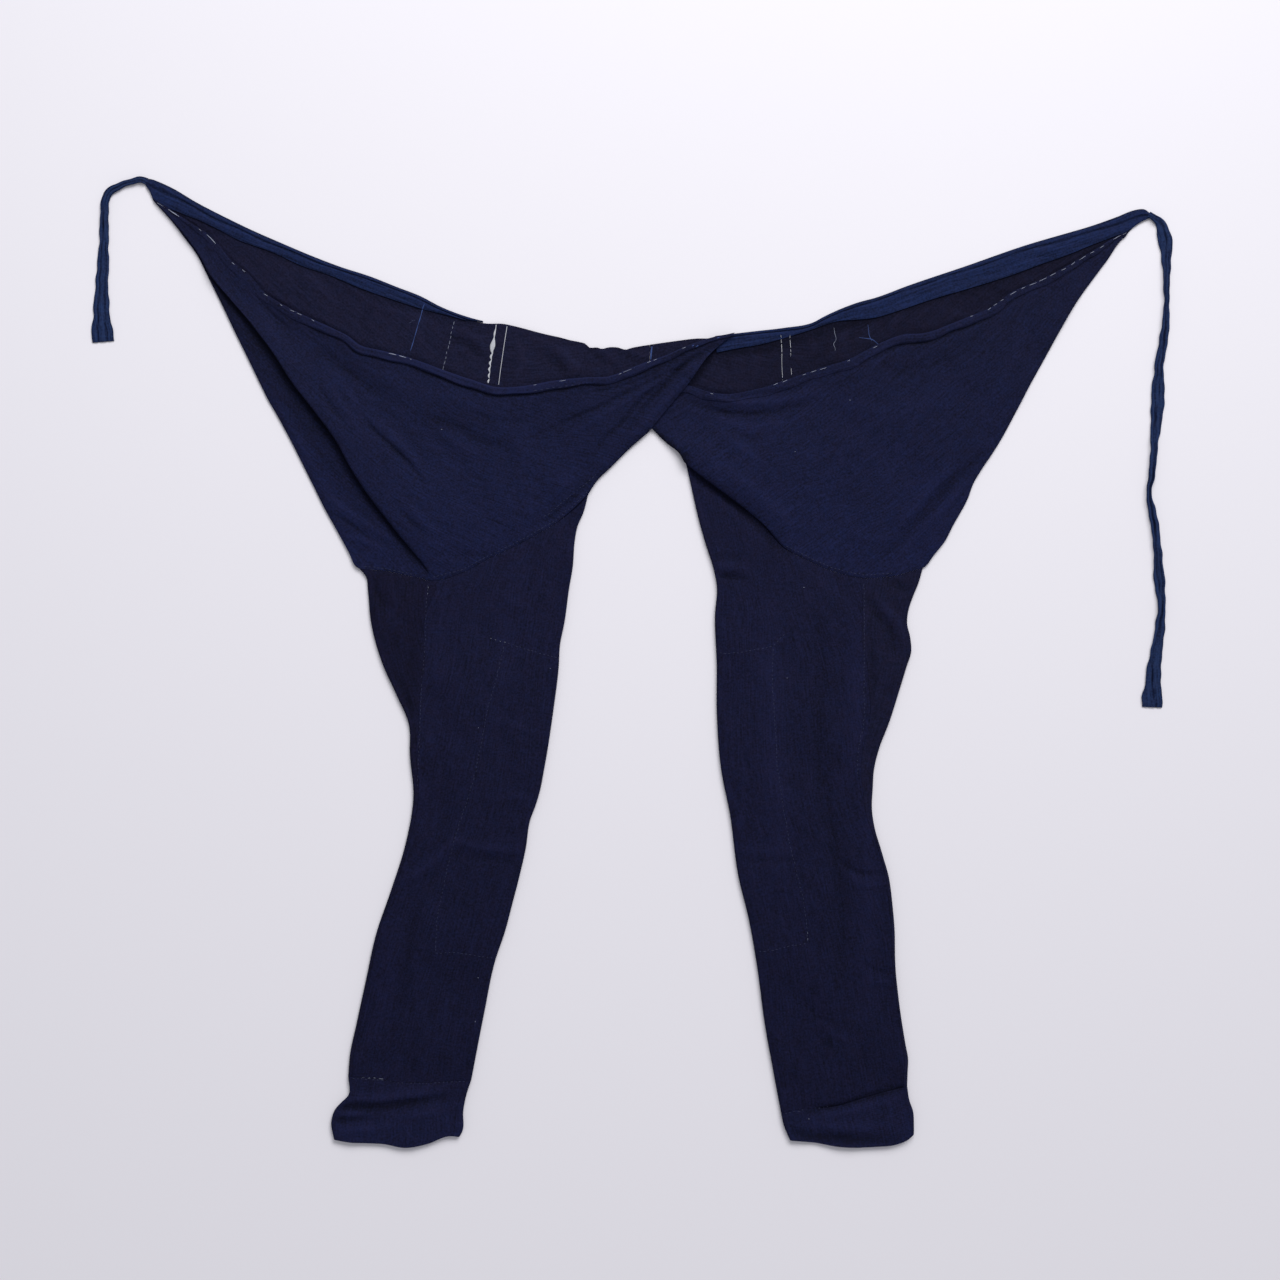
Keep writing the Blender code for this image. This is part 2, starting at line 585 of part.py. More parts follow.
def half_edges(edges, side_seam):
    """Smooth lines for one half, with the seams that neighbours share."""
    lines = {name: smooth(points) for name, points in edges.items()}
    to_band = np.linalg.norm(lines["waist"] - lines["band_low"][-1], axis=1)
    lines["band_top"] = lines["waist"][:np.argmin(to_band) + 1]
    lines["seam_line"] = seam_line(edges, side_seam)
    down_y = np.array([0.0, -SEAM_SHIFT])
    lines["cuff_seam"] = cuff_line(edges, side_seam)
    lines["leg_top"] = lines["seam_line"] + down_y
    lines["cuff_top"] = lines["cuff_seam"] + down_y
    for name, top in (("leg_outer", "leg_top"), ("cuff_outer", "cuff_top")):
        lines[name][0] = lines[top][0]
    for name, top in (("leg_inner", "leg_top"), ("cuff_inner", "cuff_top")):
        lines[name][0] = lines[top][-1]
    return lines


def build():
    """All the pieces of the garment."""
    for old in list(bpy.data.objects):
        bpy.data.objects.remove(old)
    garment = bpy.data.collections.new("momohiki")
    bpy.context.scene.collection.children.link(garment)
    materials = {"body": dyed_cotton("indigo_cotton", BODY_BLUE),
                 "inside": dyed_cotton("indigo_inside", INSIDE_BLUE),
                 "band": dyed_cotton("indigo_band", BAND_BLUE)}
    left = half_edges(LEFT_EDGES, LEFT_SIDE_SEAM)
    right = half_edges(RIGHT_EDGES, RIGHT_SIDE_SEAM)
    halves = (("left", left, LEFT_SIDE_SEAM, LEFT_LEG_FOLDS, LEFT_TIE),
              ("right", right, RIGHT_SIDE_SEAM, RIGHT_LEG_FOLDS, RIGHT_TIE))
    for side, edges, side_seam, folds, tie in halves:
        build_back(side, edges, materials)
        build_leg(side, edges, side_seam, folds, materials["body"])
        build_cuff(side, edges, materials["body"])
        build_band(side, edges, materials["band"])
        build_tie(side, tie, materials["band"])
    build_front_left(left, materials)
    build_front_right(right, materials)


build()
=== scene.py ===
# %% [markdown]
# # Momohiki: indigo work pants, laid flat
#
# The real garment is a pair of wrap work pants of dyed indigo cotton, opened out and lying on its
# back. Two back panels lie on the table with their inside up, two front panels lie on them and
# cross at the middle, and under each hip is a narrow leg with a turned cuff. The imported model
# holds every panel as a plain solid. Here each panel gets its cloth: a thin sheet on the solid's
# own form, with rounded edges, creases, hems and stitches, and a woven, unevenly dyed surface.
# Sizes are in millimetres, measured from the middle of the footprint, and MM turns them into
# metres; only the lamps and the flat sizes of the sheets are given in metres. Left and right are
# as seen from above.

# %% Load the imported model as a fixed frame
import math

import bpy
import numpy as np
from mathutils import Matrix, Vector
from mathutils.bvhtree import BVHTree


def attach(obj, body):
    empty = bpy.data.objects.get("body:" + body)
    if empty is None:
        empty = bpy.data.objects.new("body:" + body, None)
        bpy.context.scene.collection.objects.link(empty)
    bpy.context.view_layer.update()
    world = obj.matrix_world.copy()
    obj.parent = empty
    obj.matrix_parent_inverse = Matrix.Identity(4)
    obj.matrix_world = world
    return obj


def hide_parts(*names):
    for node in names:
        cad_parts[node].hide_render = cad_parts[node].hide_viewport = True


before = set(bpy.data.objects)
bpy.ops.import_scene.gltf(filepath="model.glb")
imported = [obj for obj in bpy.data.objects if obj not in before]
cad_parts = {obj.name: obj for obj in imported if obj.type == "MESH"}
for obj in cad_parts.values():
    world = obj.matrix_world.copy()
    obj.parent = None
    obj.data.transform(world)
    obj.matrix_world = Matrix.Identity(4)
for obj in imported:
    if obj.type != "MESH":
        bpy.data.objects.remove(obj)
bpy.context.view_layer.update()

MM = 0.001

# %% [markdown]
# ## Camera
#
# The photograph looks straight down on the garment, 1.12 mm to a pixel of its 1280. A long enough
# lens keeps the edges of the cloth from leaning, so the camera hangs two metres above the table,
# over the point that the middle of the photograph shows.

# %% Camera straight above
PHOTO_PIXELS = 1280
MM_PER_PIXEL = 1.12
VIEW_CENTRE = (9.0, 24.4)
LENS = 50.0
SENSOR = 36.0
CLOTH_HEIGHT = 4.0

frame_side = PHOTO_PIXELS * MM_PER_PIXEL
camera_height = CLOTH_HEIGHT + frame_side * LENS / SENSOR
bpy.ops.object.camera_add(location=(VIEW_CENTRE[0] * MM, VIEW_CENTRE[1] * MM, camera_height * MM))
camera = bpy.context.object
camera.data.lens = LENS
camera.data.sensor_width = SENSOR
bpy.context.scene.camera = camera
print("camera height in mm:", round(camera_height))

# %% [markdown]
# ## Floor and light
#
# Indigo this deep returns about one part in eighty of the light, so the pale surround decides how
# dark it looks. The floor is plain, matt and faintly violet. A large soft lamp beyond the waist
# makes the floor fade from the top of the picture to the bottom. Even light from the upper right,
# as from a window, gives each crease a bright and a dark side and the soft shadows towards the
# lower left. The sky fills the rest. The standard view transform keeps the colours as measured.

# %% Helpers for materials and lamps
LAMP_COLOUR = (1.0, 0.99, 0.98)


def linear(code):
    """Linear red, green, blue and one from an sRGB hex code."""
    parts = [int(code[i:i + 2], 16) / 255 for i in (1, 3, 5)]
    parts = [c / 12.92 if c <= 0.04045 else ((c + 0.055) / 1.055) ** 2.4 for c in parts]
    return (*parts, 1.0)


def new_material(name, finish):
    """New material, its node tree and its shader, with this finish on the shader's own sockets."""
    material = bpy.data.materials.new(name)
    material.use_nodes = True
    shader = material.node_tree.nodes["Principled BSDF"]
    for socket, value in finish.items():
        shader.inputs[socket].default_value = value
    return material, material.node_tree, shader


def add_node(tree, kind, inputs=None, **settings):
    """Adds a node. An input takes a value, or the socket that is linked to it."""
    made = tree.nodes.new("ShaderNode" + kind)
    for key, value in settings.items():
        setattr(made, key, value)
    for key, value in (inputs or {}).items():
        if isinstance(value, bpy.types.NodeSocket):
            tree.links.new(value, made.inputs[key])
        else:
            made.inputs[key].default_value = value
    return made


def lamp(kind, name, place, aim, power):
    """Lamp of this kind that points from its place to its aim."""
    bpy.ops.object.light_add(type=kind, location=place)
    made = bpy.context.object
    made.name = name
    made.rotation_euler = (Vector(aim) - Vector(place)).to_track_quat("-Z", "Y").to_euler()
    made.data.energy = power
    made.data.color = LAMP_COLOUR
    return made.data


print("half of the sRGB scale in linear light:", round(linear("#808080")[0], 3))

# %% Floor, lamps and sky
FLOOR_SIZE = 14.0
FLOOR_DROP = 0.3
KEY_PLACE = (0.35, 2.0, 1.9)
KEY_AIM = (0.0, 0.3, 0.0)
KEY_SIZE = 1.6
KEY_POWER = 42.5
WINDOW_WAY = (0.75, 1.0, 0.95)
WINDOW_WIDTH = math.radians(24)
WINDOW_POWER = 1.15
SKY = (0.85, 0.86, 0.90)
SKY_STRENGTH = 0.48

bpy.ops.mesh.primitive_plane_add(size=FLOOR_SIZE, location=(0, 0, -FLOOR_DROP * MM))
floor = bpy.context.object
floor.name = "floor"
floor.data.materials.append(new_material("matt_pale_paint", {
    "Base Color": linear("#E9E7EE"), "Roughness": 0.9, "Specular IOR Level": 0.1})[0])

lamp("AREA", "key", KEY_PLACE, KEY_AIM, KEY_POWER).size = KEY_SIZE
lamp("SUN", "window", WINDOW_WAY, (0, 0, 0), WINDOW_POWER).angle = WINDOW_WIDTH
sky = bpy.data.worlds.new("soft_sky")
sky.use_nodes = True
sky.node_tree.nodes["Background"].inputs["Color"].default_value = (*SKY, 1)
sky.node_tree.nodes["Background"].inputs["Strength"].default_value = SKY_STRENGTH
bpy.context.scene.world = sky
bpy.context.scene.view_settings.view_transform = "Standard"

# %% [markdown]
# ## Cloth: indigo-dyed plain weave
#
# The cloth is cotton in plain weave, dyed in many dips of indigo. Plain weave gives the eye a fine
# even tooth with thicker threads here and there, and indigo sits on the outside of each thread, so
# raised folds wear paler and hollows stay dark. The dye takes unevenly, in soft clouds. Threads
# are 0.5 mm apart, too fine for the render, so the weave is drawn at 1.5 mm. Cotton has no
# clear highlight, only a faint pale bloom, which a little sheen gives. The pattern follows each
# panel's own UV map, in metres, and the paleness of a place is an attribute that holds real wear
# and unfaded dye, with painted shade added in creases, grooves, beside edges and under the deep
# folds, and painted light on raised parts.

# %% Cloth
WEAVE = 1.5 * MM
WEAVE_DEPTH = 0.4 * MM
WEAVE_STRENGTH = 0.35
SLUB_LENGTH = 34 * MM
SLUB_WIDTH = 1.9 * MM
SLUB_RELIEF = 0.5
SPECKLE = 2.0 * MM
MOTTLE = 9 * MM
CLOUD = 95 * MM
HUE_PATCH = 7 * MM
VIOLET = (1.08, 0.97, 0.93, 1)
BLUE = (0.92, 1.02, 1.07, 1)
RUMPLE = 15 * MM
RUMPLE_DEPTH = 1.3 * MM
# The bands of Blender's wave texture repeat after this much of its own space
WAVE_PERIOD = 2 * math.pi / 20
# The mean of each pattern, and how strongly it makes the cloth paler and darker
WEAVE_TONE = (0.25, 0.35)
SLUB_MEAN = 1.0
SPECKLE_TONE = (0.5, 2.0)
MOTTLE_TONE = (0.5, 0.3)
CLOUD_TONE = (0.5, 0.15)
# The cloth goes from its deep to its pale colour over this much on each side of the mean
DYE_RANGE = 0.6


def cotton(name, deep, pale, sheen, shade=(1, 1, 1), span=("Y", 0, 1), streaks=0.9):
    """Dyed plain-weave cotton between two depths of the same dye.

    The shade multiplies the colour by more and more from the first to the second place of the
    span, which are on the named axis of the garment, in metres.
    """
    material, tree, shader = new_material(name, {
        "Roughness": 0.92, "Specular IOR Level": 0.08, "Sheen Weight": sheen,
        "Sheen Roughness": 0.45, "Sheen Tint": linear("#5A6FC0")})
    cloth_way = add_node(tree, "UVMap", uv_map="UVMap").outputs["UV"]
    space = add_node(tree, "TexCoord").outputs["Object"]
    # Paleness attribute: real wear and unfaded dye, with painted shade and painted light mixed in
    wear_and_shade = add_node(tree, "Attribute", attribute_name="wear_and_shade").outputs["Fac"]

    waves = [add_node(tree, "TexWave", {"Vector": cloth_way, "Scale": WAVE_PERIOD / WEAVE,
                                        "Distortion": 0.6, "Detail": 1.0}, bands_direction=way)
             for way in "XY"]
    weave = add_node(tree, "Math", {0: waves[0].outputs["Fac"], 1: waves[1].outputs["Fac"]},
                     operation="MULTIPLY").outputs[0]
    slubs = []
    for turn in (0.0, math.pi / 2):
        way = add_node(tree, "Mapping", {"Vector": cloth_way, "Rotation": (0, 0, turn),
                                         "Scale": (1 / SLUB_WIDTH, 1 / SLUB_LENGTH, 1)})
        slubs.append(add_node(tree, "TexNoise", {"Vector": way.outputs[0], "Scale": 1.0,
                                                 "Detail": 2.0}).outputs["Fac"])
    slub = add_node(tree, "Math", {0: slubs[0], 1: slubs[1]}, operation="ADD").outputs[0]
    mottle, cloud, speckle, hue = [
        add_node(tree, "TexNoise", {"Vector": space, "Scale": 1 / size, "Detail": detail})
        for size, detail in ((MOTTLE, 3.0), (CLOUD, 2.0), (SPECKLE, 2.0), (HUE_PATCH, 3.0))]

    paleness, middle = wear_and_shade, 0.0
    for pattern, (mean, amount) in ((weave, WEAVE_TONE), (slub, (SLUB_MEAN, streaks)),
                                    (speckle.outputs["Fac"], SPECKLE_TONE),
                                    (mottle.outputs["Fac"], MOTTLE_TONE),
                                    (cloud.outputs["Fac"], CLOUD_TONE)):
        paleness = add_node(tree, "Math", {0: pattern, 1: amount, 2: paleness},
                            operation="MULTIPLY_ADD").outputs[0]
        middle += mean * amount
    share = add_node(tree, "MapRange", {"Value": paleness, "From Min": middle - DYE_RANGE,
                                        "From Max": middle + DYE_RANGE})
    colour = add_node(tree, "Mix", {0: share.outputs[0], 6: linear(deep), 7: linear(pale)},
                      data_type="RGBA")
    hue_share = add_node(tree, "MapRange", {"Value": hue.outputs["Fac"], "From Min": 0.3,
                                            "From Max": 0.7})
    tint = add_node(tree, "Mix", {0: hue_share.outputs[0], 6: VIOLET, 7: BLUE}, data_type="RGBA")
    place = add_node(tree, "SeparateXYZ", {"Vector": space}).outputs[span[0]]
    spread = add_node(tree, "MapRange", {"Value": place, "From Min": span[1], "From Max": span[2]})
    shading = add_node(tree, "Mix", {0: spread.outputs[0], 6: (1, 1, 1, 1), 7: (*shade, 1)},
                       data_type="RGBA")
    for factor in (tint, shading):
        colour = add_node(tree, "Mix", {0: 1.0, 6: colour.outputs[2], 7: factor.outputs[2]},
                          data_type="RGBA", blend_type="MULTIPLY")
    tree.links.new(colour.outputs[2], shader.inputs["Base Color"])

    rumples = add_node(tree, "TexNoise", {"Vector": space, "Scale": 1 / RUMPLE, "Detail": 2.0,
                                          "Distortion": 0.6})
    soft = add_node(tree, "Bump", {"Height": rumples.outputs["Fac"], "Strength": 1.0,
                                   "Distance": RUMPLE_DEPTH})
    relief = add_node(tree, "Math", {0: slub, 1: SLUB_RELIEF, 2: weave}, operation="MULTIPLY_ADD")
    bump = add_node(tree, "Bump", {"Height": relief.outputs[0], "Strength": WEAVE_STRENGTH,
                                   "Distance": WEAVE_DEPTH, "Normal": soft.outputs[0]})
    tree.links.new(bump.outputs[0], shader.inputs["Normal"])
    return material


front_cotton = cotton("indigo_plain_weave_front", "#0D0F21", "#1C2145", 0.05,
                      shade=(0.90, 0.86, 0.77), span=("Y", 0.12, 0.36))
leg_cotton = cotton("indigo_plain_weave_leg", "#0C0D1D", "#1B1D3B", 0.04,
                    shade=(0.87, 0.87, 0.91), span=("Y", 0.06, -0.34))
side_cotton = cotton("indigo_plain_weave_side", "#0D0E1D", "#1B1C37", 0.03,
                     shade=(0.84, 0.81, 0.86), span=("X", 0.10, -0.20))
cuff_cotton = cotton("indigo_plain_weave_cuff", "#0C0D1D", "#1A1C3A", 0.04,
                     shade=(1.12, 1.2, 1.24), span=("Y", -0.47, -0.53))
# The inside darkens towards the right: painted shade under the right waistband
inside_cotton = cotton("indigo_plain_weave_inside", "#0D0E1F", "#1D1E37", 0.03,
                       shade=(0.80, 0.77, 0.76), span=("X", 0.00, 0.16))
band_cotton = cotton("thin_blue_cotton", "#0C1328", "#1C274C", 0.05, streaks=1.5)
tie_cotton = cotton("thin_blue_cotton_tie", "#0E152E", "#223155", 0.05, streaks=1.7)
print("cloths:", [m.name for m in bpy.data.materials if "cotton" in m.name or "weave" in m.name])

# %% Thread
TWIST = 0.8 * MM
THREAD_TONES = (0.55, 1.25)


def spun_thread(name, code):
    """Matt sewing thread with a fine twist."""
    material, tree, shader = new_material(name, {"Roughness": 0.8})
    space = add_node(tree, "TexCoord").outputs["Object"]
    twist = add_node(tree, "TexNoise", {"Vector": space, "Scale": 1 / TWIST, "Detail": 2.0})
    tone = add_node(tree, "MapRange", {"Value": twist.outputs["Fac"], "To Min": THREAD_TONES[0],
                                       "To Max": THREAD_TONES[1]})
    colour = add_node(tree, "Mix", {0: 1.0, 6: linear(code), 7: tone.outputs[0]},
                      data_type="RGBA", blend_type="MULTIPLY")
    tree.links.new(colour.outputs[2], shader.inputs["Base Color"])
    return material


white_thread = spun_thread("undyed_cotton_thread", "#B9BCC4")
hem_thread = spun_thread("faded_cotton_thread", "#9197A8")
grey_thread = spun_thread("stained_cotton_thread", "#6E7486")
blue_thread = spun_thread("indigo_thread", "#26407A")
seam_thread = spun_thread("faded_seam_thread", "#1F2546")
print("threads:", [m.name for m in bpy.data.materials if "thread" in m.name])

# %% [markdown]
# ## Lines and patches
#
# A pattern cutter draws a panel by its edges. These helpers do the same: a few points give a
# smooth edge, and a patch fills the space between four edges with a grid of points, so rows and
# columns of the grid run as the cloth does.

# %% Helpers for edges and patches
def distances(line):
    """Distance along a line at each of its points."""
    return np.concatenate([[0.0], np.cumsum(np.linalg.norm(np.diff(line, axis=0), axis=1))])


def weights(s):
    """What a rounded line takes, at the share s, of its start, start slope, end and end slope."""
    return 2 * s**3 - 3 * s**2 + 1, s**3 - 2 * s**2 + s, 3 * s**2 - 2 * s**3, s**3 - s**2


def smooth(points, steps=10):
    """Fine line through the points, rounded between them."""
    points = np.array(points, float)
    chords = np.linalg.norm(np.diff(points, axis=0), axis=1)
    slopes = np.gradient(points, distances(points), axis=0)
    line = []
    for i, chord in enumerate(chords):
        for s in np.arange(steps) / steps:
            a, b, c, d = weights(s)
            line.append(a * points[i] + b * chord * slopes[i]
                        + c * points[i + 1] + d * chord * slopes[i + 1])
    line.append(points[-1])
    return np.array(line)


def length(line):
    """Length of a line of points."""
    return np.linalg.norm(np.diff(line, axis=0), axis=1).sum()


def along(line, shares):
    """Points at these shares of the line's length."""
    run = distances(line)
    place = np.asarray(shares) * run[-1]
    return np.stack([np.interp(place, run, line[:, k]) for k in range(line.shape[1])], axis=-1)


def ways(line):
    """Direction of a line at each of its points."""
    way = np.gradient(line, axis=0)
    return way / np.linalg.norm(way, axis=1)[:, None]


def square_to(way):
    """Direction square to each of these, on its right."""
    return np.stack([way[:, 1], -way[:, 0]], axis=1)


def read(rows, values):
    """Second column of a table, read at values of its first column and rounded between rows."""
    x, y = np.array(rows, float).T
    slope = np.gradient(y, x)
    values = np.clip(values, x[0], x[-1])
    i = np.clip(np.searchsorted(x, values) - 1, 0, len(x) - 2)
    span = x[i + 1] - x[i]
    a, b, c, d = weights((values - x[i]) / span)
    return a * y[i] + b * span * slope[i] + c * y[i + 1] + d * span * slope[i + 1]


def fill(side_a, side_b, start, end, across, down):
    """Plan points between two sides, given row by row, and two ends, given at the same shares."""
    u = across[..., None]
    v = down[:, None, None]
    sides = (1 - u) * side_a[:, None] + u * side_b[:, None]
    ends = (1 - v) * start + v * end
    corners = ((1 - u) * (1 - v) * side_a[0] + u * (1 - v) * side_b[0]
               + (1 - u) * v * side_a[-1] + u * v * side_b[-1])
    return sides + ends - corners


def patch(side_a, side_b, start, end, across, down):
    """Plan points, one row for each share down, between four edges that meet at the corners."""
    return fill(along(side_a, down), along(side_b, down), along(start, across), along(end, across),
                across, down)


def ease(x):
    """From 0 to 1, with a soft start and end."""
    x = np.clip(x, 0, 1)
    return x * x * (3 - 2 * x)


def nearest_on(plan, line):
    """For each plan point: distance to the line, signed side, and share of the line's length."""
    run = np.diff(line, axis=0)
    size = np.linalg.norm(run, axis=1)
    share = np.clip(((plan[:, None] - line[:-1]) * run).sum(-1) / size**2, 0, 1)
    away = plan[:, None] - line[:-1] - share[..., None] * run
    distance = np.linalg.norm(away, axis=-1)
    k = distance.argmin(1)
    pick = np.arange(len(plan)), k
    side = np.sign(run[k, 0] * away[pick][:, 1] - run[k, 1] * away[pick][:, 0])
    return distance[pick], side, (distances(line)[k] + share[pick] * size[k]) / size.sum()


bend = smooth([(0, 0), (30, 40), (60, 0)])
print("a bend through three points:", len(bend), "points,", round(length(bend), 1), "mm")

# %% [markdown]
# ## Creases and unevenness
#
# Cloth that was folded for years and then smoothed by hand keeps soft ridges and troughs that
# start and end nowhere in particular. Each is given as a line with a height and a half
# width, and a lean that makes one side steeper. Under them runs a slow unevenness of about half a
# millimetre, a sum of shallow waves, the same for all panels, so it passes over the seams. A
# quicker waver and flutter unsettle the hems, bands and ties along their length.

# %% Helpers for creases
WAVES = 16
SHORTEST_WAVE = 24.0
LONGEST_WAVE = 120.0
WAVE_STEEPNESS = 0.0030
CREASE_STEPS = 4
CREASE_ROUND = 1.4
CREASE_FOOT = 2
CREASE_START = 0.05
CREASE_FADE = 0.7
dice = np.random.default_rng(11)
wave_angles = dice.uniform(0, 2 * math.pi, WAVES)
wave_lengths = np.geomspace(SHORTEST_WAVE, LONGEST_WAVE, WAVES)
wave_phases = dice.uniform(0, 2 * math.pi, WAVES)


def unevenness(plan):
    """Slow unevenness of laid cloth, in millimetres."""
    height = np.zeros(plan.shape[:-1])
    for angle, size, phase in zip(wave_angles, wave_lengths, wave_phases):
        way = plan[..., 0] * math.cos(angle) + plan[..., 1] * math.sin(angle)
        height += WAVE_STEEPNESS * size * np.sin(2 * math.pi * way / size + phase)
    return height


def crease(plan, height, half_width, lean, points):
    """Height that one crease adds: all of it on its line, less to each side and at its ends.

    A positive lean makes the side on the left of the line, as it runs, the steeper one.
    """
    line = smooth(points, CREASE_STEPS)
    reach = half_width * (1 + abs(lean))
    flat = plan.reshape(-1, 2)
    near = ((flat > line.min(0) - reach) & (flat < line.max(0) + reach)).all(-1)
    added = np.zeros(len(flat))
    if near.any():
        distance, side, share = nearest_on(flat[near], line)
        width = half_width * (1 - lean * side)
        across = (1 - np.clip(distance / width, 0, 1) ** CREASE_ROUND) ** CREASE_FOOT
        place = CREASE_START + (1 - 2 * CREASE_START) * share
        added[near] = height * across * np.sin(math.pi * place) ** CREASE_FADE
    return added.reshape(plan.shape[:-1])


def creased(plan, rows):
    """Height of all the creases in a table."""
    return sum(crease(plan, *row) for row in rows)


def rolled(plan, line, reach):
    """From 1 at a free edge to 0 at a distance from it, round like the edge of a turned cloth."""
    flat = plan.reshape(-1, 2)
    near = ((flat > line.min(0) - reach) & (flat < line.max(0) + reach)).all(-1)
    share = np.zeros(len(flat))
    if near.any():
        distance = nearest_on(flat[near], line)[0]
        share[near] = 1 - np.sqrt(1 - (1 - np.clip(distance / reach, 0, 1)) ** 2)
    return share.reshape(plan.shape[:-1])


def waver(place, waves):
    """Small unevenness along a piece: a sum of waves, each with its size, rate and start."""
    return sum(size * np.sin(rate * place + start) for size, rate, start in waves)


def flutter(place, size, short, long, start=0.0):
    """Short waves in millimetres along a piece, that come and go over longer ones."""
    return size * np.sin(place / short + start) * np.sin(place / long)


print("waves of the unevenness in mm:", np.round(wave_lengths).astype(int).tolist())

# %% [markdown]
# ## From a grid of points to a piece of cloth
#
# Every panel starts as Blender's grid primitive, with as many cells as the panel needs, whose
# points are then put in place, as a modeller would with proportional editing. Solidify gives it
# its wall. The UV map is laid in metres along the rows and columns. Each piece rides on the one
# body, replaces its solid, and takes its material.

# %% Helper that makes a piece of cloth
WALL = 0.9
SHARP = math.radians(50)
MERGE = 0.02
# Paleness a crease gives: its ridges paler from wear, its troughs darker with painted shade
RIDGE_WEAR_AND_SHADE = 0.16
cloth_pieces = {}


def cloth(name, points, node, material, wall=WALL, wear_and_shade=None, joined=False):
    """Cloth through a grid of points in mm, that stands for a node.

    A joined one is a ring, and one with no wall is a closed body.
    """
    rows, columns = points.shape[:2]
    bpy.ops.object.select_all(action="DESELECT")
    bpy.ops.mesh.primitive_grid_add(x_subdivisions=columns - 1, y_subdivisions=rows - 1, size=1)
    piece = bpy.context.object
    piece.name = piece.data.name = name
    mesh = piece.data
    mesh.vertices.foreach_set("co", (points * MM).astype(np.float32).ravel())

    steps = np.diff(points, axis=1, prepend=points[:, :1])
    across = np.cumsum(np.linalg.norm(steps, axis=2), axis=1)
    across -= across.mean(axis=1, keepdims=True)
    down = distances(points[:, columns // 2])
    uv = np.stack([across, np.broadcast_to(down[:, None], across.shape)], axis=-1) * MM
    corners = np.zeros(len(mesh.loops), int)
    mesh.loops.foreach_get("vertex_index", corners)
    uv = uv.reshape(-1, 2)[corners].astype(np.float32)
    mesh.uv_layers.active.data.foreach_set("uv", uv.ravel())
    mesh.uv_layers.active.name = "UVMap"
    # Paleness attribute for the material: real wear together with painted shade and painted light
    paleness = mesh.attributes.new("wear_and_shade", "FLOAT", "POINT")
    if wear_and_shade is not None:
        paleness.data.foreach_set("value", np.asarray(wear_and_shade, np.float32).ravel())

    # A panel faces up. A tube faces up as much as down, so there the upper faces decide.
    mesh.update()
    up = np.array([face.normal.z * face.area for face in mesh.polygons])
    if abs(up.sum()) < 0.5 * sum(face.area for face in mesh.polygons):
        heights = np.array([face.center.z for face in mesh.polygons])
        up = up * (heights - heights.mean())
    if up.sum() < 0:
        mesh.flip_normals()
    if joined:
        bpy.ops.object.mode_set(mode="EDIT")
        bpy.ops.mesh.select_all(action="SELECT")
        bpy.ops.mesh.remove_doubles(threshold=MERGE * MM)
        if not wall:
            bpy.ops.mesh.select_all(action="DESELECT")
            bpy.ops.mesh.select_non_manifold()
            bpy.ops.mesh.fill_holes(sides=0)
        bpy.ops.object.mode_set(mode="OBJECT")
    if wall:
        bpy.ops.object.modifier_add(type="SOLIDIFY")
        piece.modifiers[0].thickness = wall * MM
        piece.modifiers[0].offset = -1
        bpy.ops.object.modifier_apply(modifier=piece.modifiers[0].name)
    bpy.ops.object.shade_smooth_by_angle(angle=SHARP)
    mesh.materials.append(material)
    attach(piece, "root")
    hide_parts(node)
    cloth_pieces[name] = piece
    area = sum(face.area for face in mesh.polygons) / 2
    print(f"{name}: {len(mesh.polygons)} faces, {area:.4f} square metres a side")


# %% [markdown]
# ## The edges of the garment
#
# These are the panels' edges as seen from above, in the same frame as the solids and a little
# closer to the real, wavering line of worn cloth. Waist runs from the tip to the middle, front is
# the upper edge of the front panel, outer and the leg's edges run down the silhouette, and the
# seam joins hip and leg.

